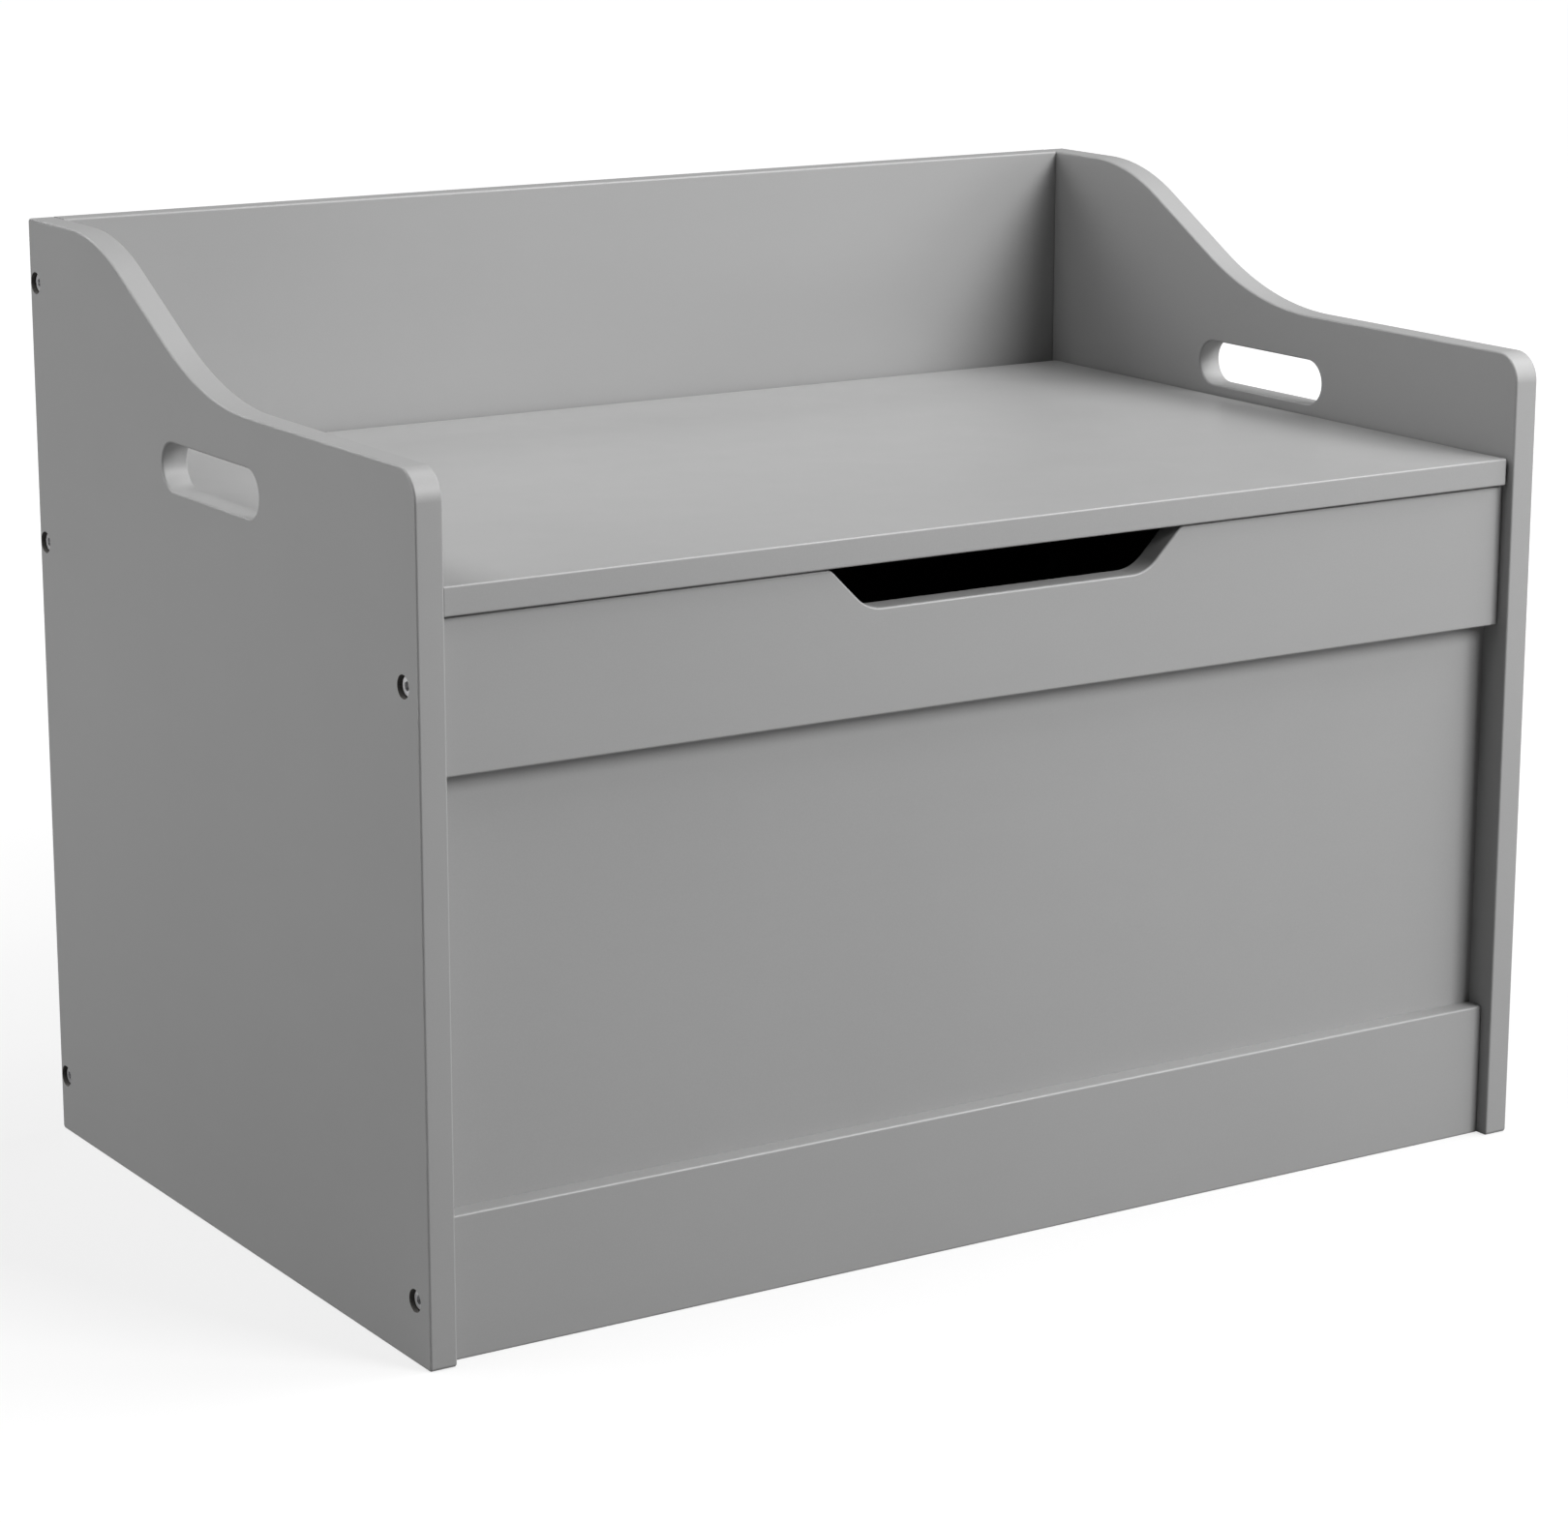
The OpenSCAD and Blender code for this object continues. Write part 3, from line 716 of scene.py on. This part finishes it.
def carve(piece, cutter):
    """Cuts a shape out of a piece. The cut faces take the piece's second material."""
    for face in cutter.faces:
        face.material_index = 1
    tool = to_object("cutter", cutter)
    cut = piece.modifiers.new("cut", "BOOLEAN")
    cut.operation = "DIFFERENCE"
    cut.solver = "EXACT"
    cut.object = tool
    ready = piece.evaluated_get(bpy.context.evaluated_depsgraph_get())
    mesh = bpy.data.meshes.new_from_object(ready)
    piece.modifiers.clear()
    old, piece.data = piece.data, mesh
    bpy.data.meshes.remove(old)
    bpy.data.objects.remove(tool)
    return piece


def smooth(piece):
    """Smooth shading that stays crisp on true corners."""
    shape = bmesh.new()
    shape.from_mesh(piece.data)
    for face in shape.faces:
        face.smooth = True
    for edge in shape.edges:
        edge.smooth = len(edge.link_faces) != 2 or edge.calc_face_angle(0) < CRISP_ANGLE
    shape.to_mesh(piece.data)
    shape.free()
    normals = piece.modifiers.new("normals", "WEIGHTED_NORMAL")
    normals.keep_sharp = True
    normals.weight = FACE_WEIGHT


def stand_for(node, piece, material, cut_material=None):
    """The piece takes a CAD node's place: its body and its materials."""
    piece.name = node + "_finished"
    piece.data.name = piece.name
    indices = [face.material_index for face in piece.data.polygons]
    piece.data.materials.clear()
    piece.data.materials.append(material)
    piece.data.materials.append(cut_material or material)
    piece.data.polygons.foreach_set("material_index", indices)
    smooth(piece)
    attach(piece, BODY_OF[node])
    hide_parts(node)


# ---- Boards ----


def side_outline(front, back, top):
    """A side panel's outline: level at the front, then a hollow, a slope and a round up to the back."""
    hollow_y = front + SWEEP_START + HOLLOW_R * math.tan(SWEEP_SLOPE / 2)
    crown_y = hollow_y + (top - SIDE_H) / math.tan(SWEEP_SLOPE)
    return fillet([
        (front, 0, SQUARE_CORNER_R), (back, 0, SQUARE_CORNER_R), (back, top, SQUARE_CORNER_R),
        (crown_y, top, CROWN_R), (hollow_y, SIDE_H, HOLLOW_R), (front, SIDE_H, CORNER_R),
    ])


def bore(shape, start, axis, radius, depth):
    """Adds a round cutter that goes in from a point on a face."""
    mouth = Vector(start) - Vector(axis) * CLEAR
    profile = [(0, 0), (0, radius), (CLEAR, radius), (CLEAR + depth, radius), (CLEAR + depth, 0)]
    lathe(shape, mouth, axis, profile)


def side_panel(side, paint, shaded_core):
    """A side panel with its handle slot, bored and grooved for everything that it holds."""
    node = side + "_side_panel"
    low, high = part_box(node)
    out = OUTWARD[side]
    outer, inner = end_x(low, high, out), end_x(low, high, -out)
    through = 2 * CLEAR + high.x - low.x
    into, outwards = (-out, 0, 0), (out, 0, 0)
    middle = (low.y + SLOT_FROM_FRONT, SLOT_Z)
    reach = Vector(((SLOT_LEN - SLOT_H) / 2, 0))
    shape = bmesh.new()
    slot = capsule(Vector(middle) - reach, Vector(middle) + reach, SLOT_H / 2)
    slab(shape, "x", side_outline(low.y, high.y, high.z), [slot], low.x, high.x, ARRIS)
    cuts = bmesh.new()
    for screw in islands(side + "_connector_screws"):
        _, head = near_and_far(screw)
        seat = abs(outer - head * out) + SCREW_HEAD_H
        y, z = middle_of(screw).yz
        steps = [
            (0, 0), (0, COUNTERBORE_R + COUNTERBORE_RIM + CLEAR),
            (CLEAR + COUNTERBORE_RIM, COUNTERBORE_R), (CLEAR + seat, COUNTERBORE_R),
            (CLEAR + seat, SCREW_SHANK_R), (through, SCREW_SHANK_R), (through, 0),
        ]
        lathe(cuts, (outer + out * CLEAR, y, z), into, steps, COUNTERBORE_ROUND)
    for dowel in islands(side + "_dowels"):
        _, far = near_and_far(dowel)
        depth = far - abs(inner) + PLAY
        bore(cuts, (inner, *middle_of(dowel).yz), outwards, radius_of(dowel), depth)
    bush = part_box(side + "_hinge_bush")
    _, far = near_and_far(bush)
    bore(cuts, (inner, *middle_of(bush).yz), outwards, BUSH_R, far - abs(inner))
    for screw in islands(side + "_stay_side_screws"):
        _, far = near_and_far(screw)
        bore(cuts, (inner, *middle_of(screw).yz), outwards, WOOD_SCREW_R, far - abs(inner))
    for panel in THIN_PANELS:
        first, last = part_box(panel)
        ends = sorted((inner - out * CLEAR, inner + out * GROOVE_DEPTH))
        block(cuts, (ends[0], first.y, first.z), (ends[1], last.y, last.z))
    piece = carve(to_object(node, shape), cuts)
    stand_for(node, piece, paint, shaded_core)


def end_bores(cuts, low, high):
    """Cutters for the screws and dowels that go into both ends of a board."""
    for side, out in OUTWARD.items():
        end = end_x(low, high, out)
        for kind, play in (("_connector_screws", 0), ("_dowels", PLAY)):
            for fixing in islands(side + kind):
                y, z = middle_of(fixing).yz
                if not (low.y < y < high.y and low.z < z < high.z):
                    continue
                near, _ = near_and_far(fixing)
                radius = radius_of(fixing) if play else SCREW_CORE_R
                bore(cuts, (end, y, z), (-out, 0, 0), radius, abs(end) - near + play)


def rail(node, paint, shaded_core, notch=()):
    """A board between the side panels. Its ends are eased, which leaves a fine line at each joint."""
    low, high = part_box(node)
    over = ARRIS - RAIL_END_ARRIS
    outline = fillet([
        (low.x - over, low.z, 0), (high.x + over, low.z, 0), (high.x + over, high.z, 0),
        *notch, (low.x - over, high.z, 0),
    ])
    shape = bmesh.new()
    slab(shape, "y", outline, [], low.y, high.y, ARRIS)
    for vertex in shape.verts:
        vertex.co.x = min(max(vertex.co.x, low.x), high.x)
    cuts = bmesh.new()
    end_bores(cuts, low, high)
    for panel in THIN_PANELS:
        first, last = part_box(panel)
        if first.y < high.y and last.y > low.y and first.z < high.z and last.z > low.z:
            groove(cuts, low, high, first, last)
    piece = carve(to_object(node, shape), cuts)
    stand_for(node, piece, paint, shaded_core)


def groove(cuts, low, high, first, last):
    """A cutter along a whole rail for the thin panel that it holds, open on every side that the panel
    comes in from."""
    first, last = Vector(first), Vector(last)
    first.x, last.x = low.x - CLEAR, high.x + CLEAR
    for axis in (1, 2):
        if first[axis] <= low[axis] + JOIN:
            first[axis] = low[axis] - CLEAR
        if last[axis] >= high[axis] - JOIN:
            last[axis] = high[axis] + CLEAR
    block(cuts, first, last)


def notch_corners(top):
    """The finger notch's corners, from right to left, with slopes of 45 degrees."""
    lip = NOTCH_W / 2 + NOTCH_DEPTH
    floor = NOTCH_W / 2
    return (
        (lip, top, NOTCH_LIP_R), (floor, top - NOTCH_DEPTH, NOTCH_FLOOR_R),
        (-floor, top - NOTCH_DEPTH, NOTCH_FLOOR_R), (-lip, top, NOTCH_LIP_R),
    )


def lid(paint, shaded_core):
    """The lid panel, its rear top edge well rounded, so that it clears the backrest as it turns."""
    node = "lid_panel"
    low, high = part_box(node)
    section = fillet([
        (low.y, low.z, LID_ARRIS), (high.y, low.z, LID_ARRIS),
        (high.y, high.z, LID_REAR_R), (low.y, high.z, LID_ARRIS),
    ])
    shape = bmesh.new()
    slab(shape, "x", section, [], low.x, high.x, LID_END_ARRIS)
    cuts = bmesh.new()
    for side, out in OUTWARD.items():
        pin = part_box(side + "_hinge_pin")
        end = end_x(low, high, out)
        near, _ = near_and_far(pin)
        bore(cuts, (end, *middle_of(pin).yz), (-out, 0, 0), radius_of(pin), abs(end) - near)
        for first, last in islands(side + "_stay_lid_screws"):
            x, y = middle_of((first, last)).xy
            bore(cuts, (x, y, low.z), (0, 0, 1), WOOD_SCREW_R, last.z - low.z)
    piece = carve(to_object(node, shape), cuts)
    stand_for(node, piece, paint, shaded_core)


def thin_panel(node, facing, paint):
    """An infill or bottom panel, which sits in grooves all round."""
    first, last = (FLAT[facing](corner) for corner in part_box(node))
    shape = bmesh.new()
    slab(shape, facing, oblong(first, last), [], first[2], last[2], THIN_ARRIS, THIN_STEPS)
    stand_for(node, to_object(node, shape), paint)


# ---- Fittings ----


def thread(pitch, height, first, last):
    """Extra radius of a helical thread between two places along a screw, fading in and out. The ridge
    takes half of the pitch."""
    def ridge(angle, along):
        if not first < along < last:
            return 0
        phase = (along / pitch - angle / (2 * math.pi)) % 1
        fade = min(1, (along - first) / pitch, (last - along) / pitch)
        return height * fade * max(0, 1 - abs(phase - 0.5) * 4)
    return ridge


def stations(first, last, spacing):
    """Even places from first to last, no further apart than the spacing."""
    count = max(1, math.ceil((last - first) / spacing))
    return [first + (last - first) * i / count for i in range(count + 1)]


def connector_screws(side, zinc):
    """One-piece connectors: a flat head with a hex socket, a plain shank and a coarse wood thread."""
    node = side + "_connector_screws"
    out = OUTWARD[side]
    inner, _ = near_and_far(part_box(side + "_side_panel"))
    core_r, shank_r = SCREW_CORE_R - SCREW_CORE_PLAY, SCREW_SHANK_R - SCREW_SHANK_PLAY
    head_r, bevel = SCREW_HEAD_R, SCREW_HEAD_BEVEL
    half_side = math.pi / HEX_SIDES
    spacing = SCREW_PITCH / SCREW_PITCH_STEPS
    shape, sockets = bmesh.new(), bmesh.new()
    for screw in islands(node):
        tip, head = near_and_far(screw)
        length, shank = head - tip, inner - tip
        seat, thread_end = length - SCREW_HEAD_H, shank - SCREW_RUNOUT
        y, z = middle_of(screw).yz
        profile = [(0, 0), (SCREW_POINT, SCREW_POINT_R), (SCREW_TAPER, core_r)]
        profile += [(place, core_r) for place in stations(SCREW_THREAD_FROM, thread_end, spacing)]
        profile += [
            (shank, shank_r), (seat, shank_r), (seat, head_r - bevel / 2), (seat + bevel / 2, head_r),
            (length - bevel, head_r), (length - bevel / 3, head_r - bevel / 3),
            (length, head_r - bevel), (length, 0),
        ]
        ridge = thread(SCREW_PITCH, SCREW_RIDGE, SCREW_TAPER, thread_end)
        lathe(shape, (out * tip, y, z), (out, 0, 0), profile, bulge=ridge)
        hexagon = circle(y, z, HEX_KEY / 2 / math.cos(half_side), HEX_SIDES, half_side)
        prism(sockets, "x", hexagon, *sorted((out * (head - HEX_DEPTH), out * (head + CLEAR))))
    piece = carve(to_object(node, shape), sockets)
    stand_for(node, piece, zinc)


def dowels(side, beech):
    """Fluted dowels with chamfered ends."""
    node = side + "_dowels"
    shape = bmesh.new()
    chamfer = DOWEL_CHAMFER
    for dowel in islands(node):
        radius, length = radius_of(dowel), dowel[1].x - dowel[0].x
        profile = [
            (0, 0), (0, radius - chamfer), (chamfer, radius), (2 * chamfer, radius),
            (length - 2 * chamfer, radius), (length - chamfer, radius),
            (length, radius - chamfer), (length, 0),
        ]

        def flute(angle, along):
            inside = 2 * chamfer <= along <= length - 2 * chamfer
            return -DOWEL_FLUTE_DEPTH * (0.5 - 0.5 * math.cos(DOWEL_FLUTES * angle)) if inside else 0

        foot = (dowel[0].x, *middle_of(dowel).yz)
        lathe(shape, foot, (1, 0, 0), profile, 2 * DOWEL_FLUTES, flute)
    stand_for(node, to_object(node, shape), beech)


def hinge_pin(side, steel):
    """A plain pin with chamfered ends."""
    node = side + "_hinge_pin"
    low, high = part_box(node)
    radius, length, chamfer = radius_of((low, high)), high.x - low.x, PIN_CHAMFER
    profile = [
        (0, 0), (0, radius - chamfer), (chamfer, radius),
        (length - chamfer, radius), (length, radius - chamfer), (length, 0),
    ]
    shape = bmesh.new()
    lathe(shape, (low.x, *middle_of((low, high)).yz), (1, 0, 0), profile, ROUND)
    stand_for(node, to_object(node, shape), steel)


def hinge_bush(side, nylon):
    """A flanged bush, closed at its outer end, round the hinge pin."""
    node = side + "_hinge_bush"
    low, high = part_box(node)
    out = OUTWARD[side]
    length, flange = high.x - low.x, radius_of((low, high))
    hole = radius_of(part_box(side + "_hinge_pin")) + PIN_CLEARANCE
    profile = [
        (length - BUSH_FLOOR, 0), (length - BUSH_FLOOR, hole), (BUSH_EDGE, hole), (0, hole + BUSH_EDGE),
        (0, flange - BUSH_EDGE), (BUSH_EDGE, flange), (BUSH_FLANGE_T, flange), (BUSH_FLANGE_T, BUSH_R),
        (length - BUSH_EDGE, BUSH_R), (length, BUSH_R - BUSH_EDGE), (length, 0),
    ]
    shape = bmesh.new()
    mouth = (end_x(low, high, -out), *middle_of((low, high)).yz)
    lathe(shape, mouth, (out, 0, 0), profile, ROUND)
    stand_for(node, to_object(node, shape), nylon)


def bumpers(rubber):
    """Two low rubber buttons with a rounded rim."""
    node = "lid_bumpers"
    shape = bmesh.new()
    for first, last in islands(node):
        radius, height = (last.x - first.x) / 2, last.z - first.z
        rim = [
            (height - BUMPER_EDGE * (1 - math.sin(a)), radius - BUMPER_EDGE * (1 - math.cos(a)))
            for a in quarter(BUMPER_STEPS)
        ]
        foot = (*middle_of((first, last)).xy, first.z)
        lathe(shape, foot, (0, 0, 1), [(0, 0), (0, radius), *rim, (height, 0)], ROUND)
    stand_for(node, to_object(node, shape), rubber)


def rivet(side, part, outer_head, steel):
    """A rivet with a domed head on its inner end and, unless it is flush there, on its outer end."""
    node = f"{side}_stay_{part}_rivet"
    low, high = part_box(node)
    out = OUTWARD[side]
    start = (end_x(low, high, out), *middle_of((low, high)).yz)
    length, head_r = high.x - low.x, radius_of((low, high))
    turns = quarter(RIVET_DOME_STEPS)[:-1]
    dome = [(RIVET_HEAD_T * math.sin(a), head_r * math.cos(a)) for a in turns]
    profile = []
    if outer_head:
        profile += [(0, 0)] + [(RIVET_HEAD_T - along, r) for along, r in reversed(dome)]
        profile += [(RIVET_HEAD_T, RIVET_R)]
    else:
        profile += [(0, 0), (0, RIVET_R)]
    seat = length - RIVET_HEAD_T
    profile += [(seat, RIVET_R)] + [(seat + along, r) for along, r in dome] + [(length, 0)]
    shape = bmesh.new()
    lathe(shape, start, (-out, 0, 0), profile, ROUND)
    stand_for(node, to_object(node, shape), steel)


def pivot(side, part):
    """The place of one of a stay's pivots, in Y and Z."""
    return Vector(middle_of(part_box(f"{side}_stay_{part}_rivet")).yz)


def stay_bar(side, part, ends, gaps, zinc):
    """A flat bar with round ends from one pivot to another, bored for the two rivets."""
    node = f"{side}_stay_{part}"
    low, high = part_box(node)
    places = [pivot(side, end) for end in ends]
    radius = high.y - max(place.x for place in places)
    holes = [circle(place.x, place.y, RIVET_R + gap) for place, gap in zip(places, gaps)]
    shape = bmesh.new()
    slab(shape, "x", capsule(*places, radius), holes, low.x, high.x, STEEL_ARRIS, STEEL_STEPS)
    stand_for(node, to_object(node, shape), zinc)


def countersink(cuts, face, axis):
    """A cutter for a countersunk hole right through a bracket."""
    through = 2 * CLEAR + PLATE_T
    profile = [
        (0, 0), (0, WOOD_SCREW_HEAD_R), (CLEAR, WOOD_SCREW_HEAD_R),
        (CLEAR + WOOD_SCREW_HEAD_H, WOOD_SCREW_R), (through, WOOD_SCREW_R), (through, 0),
    ]
    lathe(cuts, Vector(face) - Vector(axis) * CLEAR, axis, profile)


def side_bracket(side, zinc):
    """A flat plate with round corners, bored for its rivet and countersunk for its screws."""
    node = side + "_stay_side_bracket"
    low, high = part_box(node)
    out = OUTWARD[side]
    outline = oblong(low.yz, high.yz, PLATE_R)
    hole = circle(*pivot(side, "base"), RIVET_R)
    shape, cuts = bmesh.new(), bmesh.new()
    slab(shape, "x", outline, [hole], low.x, high.x, STEEL_ARRIS, STEEL_STEPS)
    face = end_x(low, high, -out)
    for screw in islands(side + "_stay_side_screws"):
        countersink(cuts, (face, *middle_of(screw).yz), (out, 0, 0))
    stand_for(node, carve(to_object(node, shape), cuts), zinc)


def lid_bracket(side, zinc):
    """A flat steel blank with a narrow round-ended tab, bent down at a right angle."""
    node = side + "_stay_lid_bracket"
    low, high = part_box(node)
    out = OUTWARD[side]
    middle = BEND_R + PLATE_T / 2
    place = pivot(side, "lid")
    corner = end_x(low, high, out)
    flange = high.x - low.x - BEND_R - PLATE_T
    arc = middle * math.pi / 2
    drop = high.z - PLATE_T - BEND_R - place.y
    end = flange + arc + drop
    half, tab = (high.y - low.y) / 2, TAB_W / 2
    shoulder = flange - 2 * RELIEF_R
    blank = fillet([
        (0, -half, FLANGE_R), (shoulder, -half, FLANGE_R), (shoulder, -tab, RELIEF_R),
        (end + tab, -tab, tab), (end + tab, tab, tab),
        (shoulder, tab, RELIEF_R), (shoulder, half, FLANGE_R), (0, half, FLANGE_R),
    ])
    shape = bmesh.new()
    slab(shape, "z", blank, [circle(end, 0, RIVET_R)], 0, PLATE_T, STEEL_ARRIS, STEEL_STEPS)
    for i in range(BEND_STEPS + 1):
        cut = Vector((flange + arc * i / BEND_STEPS, 0, 0))
        everything = shape.verts[:] + shape.edges[:] + shape.faces[:]
        bmesh.ops.bisect_plane(shape, geom=everything, plane_co=cut, plane_no=(1, 0, 0), dist=HAIR)
    for vertex in shape.verts:
        along, across, depth = vertex.co
        turn = min(max(along - flange, 0), arc) / middle
        past = max(along - flange - arc, 0)
        radius = BEND_R + PLATE_T - depth
        vertex.co = (
            min(along, flange) + radius * math.sin(turn),
            across,
            -(BEND_R + PLATE_T) + radius * math.cos(turn) - past,
        )
    for vertex in shape.verts:
        x, y, z = vertex.co
        vertex.co = (corner + out * (x - (high.x - low.x)), (low.y + high.y) / 2 + y, high.z + z)
    cuts = bmesh.new()
    for screw in islands(side + "_stay_lid_screws"):
        countersink(cuts, (*middle_of(screw).xy, high.z - PLATE_T), (0, 0, 1))
    stand_for(node, carve(to_object(node, shape), cuts), zinc)


def wood_screws(side, part, axis, steel):
    """Countersunk wood screws with a cross recess, heads first along the axis."""
    node = f"{side}_stay_{part}_screws"
    axis = Vector(axis)
    along = 0 if axis.x else 2
    facing = "xyz"[along]
    shape, slots = bmesh.new(), bmesh.new()
    neck = WOOD_SCREW_HEAD_H + WOOD_SCREW_NECK
    for first, last in islands(node):
        length = last[along] - first[along]
        start = middle_of((first, last))
        start[along] = first[along] if axis[along] > 0 else last[along]
        point = length - WOOD_SCREW_POINT
        profile = [
            (0, 0), (0, WOOD_SCREW_HEAD_R - WOOD_SCREW_LAND), (WOOD_SCREW_LAND, WOOD_SCREW_HEAD_R),
            (WOOD_SCREW_HEAD_H, WOOD_SCREW_R - WOOD_SCREW_LAND),
        ]
        spacing = WOOD_SCREW_PITCH / WOOD_SCREW_PITCH_STEPS
        profile += [(place, WOOD_SCREW_CORE_R) for place in stations(neck, point, spacing)]
        profile += [(length, 0)]
        ridge = thread(WOOD_SCREW_PITCH, WOOD_SCREW_RIDGE, neck, point)
        lathe(shape, start, axis, profile, WOOD_SCREW_ROUND, ridge)
        u, v = (start.y, start.z) if facing == "x" else (start.x, start.y)
        deep = start[along] + axis[along] * CROSS_DEPTH
        prism(slots, facing, cross(u, v), *sorted((start[along] - axis[along] * CLEAR, deep)))
    stand_for(node, carve(to_object(node, shape), slots), steel)


def cross(u, v):
    """Outline of a cross recess."""
    a, b = CROSS_LEN / 2, CROSS_W / 2
    corners = [
        (a, -b), (a, b), (b, b), (b, a), (-b, a), (-b, b),
        (-a, b), (-a, -b), (-b, -b), (-b, -a), (b, -a), (b, -b),
    ]
    return [Vector((u + x, v + y)) for x, y in corners]


def make_boards():
    # The insides of bores and grooves take a near-black core: painted shade
    shaded_core = shaded_core_material()
    along_y = paint_material("paint_side_panels", "x", GRAIN_Y)
    along_x = paint_material("paint_rails", "y", GRAIN_X)
    for side in OUTWARD:
        side_panel(side, along_y, shaded_core)
    rail("front_upper_rail", along_x, shaded_core, notch_corners(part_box("front_upper_rail")[1].z))
    for node in ("front_lower_rail", "backrest_board", "back_lower_rail"):
        rail(node, along_x, shaded_core)
    lid(paint_material("paint_lid", "z", GRAIN_X), shaded_core)
    thin = paint_material("paint_infill_panels", "y", GRAIN_X)
    thin_panel("front_infill_panel", "y", thin)
    thin_panel("back_infill_panel", "y", thin)
    thin_panel("bottom_panel", "z", paint_material("paint_bottom_panel", "z", GRAIN_X))


def make_fittings():
    zinc = metal_material("zinc_plate", ZINC, 0.48)
    steel = metal_material("bright_steel", STEEL, 0.25)
    nylon = plain_material("nylon", NYLON, 0.5)
    beech = beech_material()
    bumpers(plain_material("rubber", RUBBER, 0.7))
    for side, out in OUTWARD.items():
        connector_screws(side, zinc)
        dowels(side, beech)
        hinge_bush(side, nylon)
        hinge_pin(side, steel)
        side_bracket(side, zinc)
        lid_bracket(side, zinc)
        stay_bar(side, "arm", ("base", "elbow"), (PIN_CLEARANCE, 0), zinc)
        stay_bar(side, "link", ("elbow", "lid"), (PIN_CLEARANCE, LID_RIVET_CLEARANCE), zinc)
        rivet(side, "base", False, steel)
        rivet(side, "elbow", True, steel)
        rivet(side, "lid", True, steel)
        wood_screws(side, "side", (out, 0, 0), steel)
        wood_screws(side, "lid", (0, 0, 1), steel)


make_camera()
make_lights()
make_floor()
make_boards()
make_fittings()
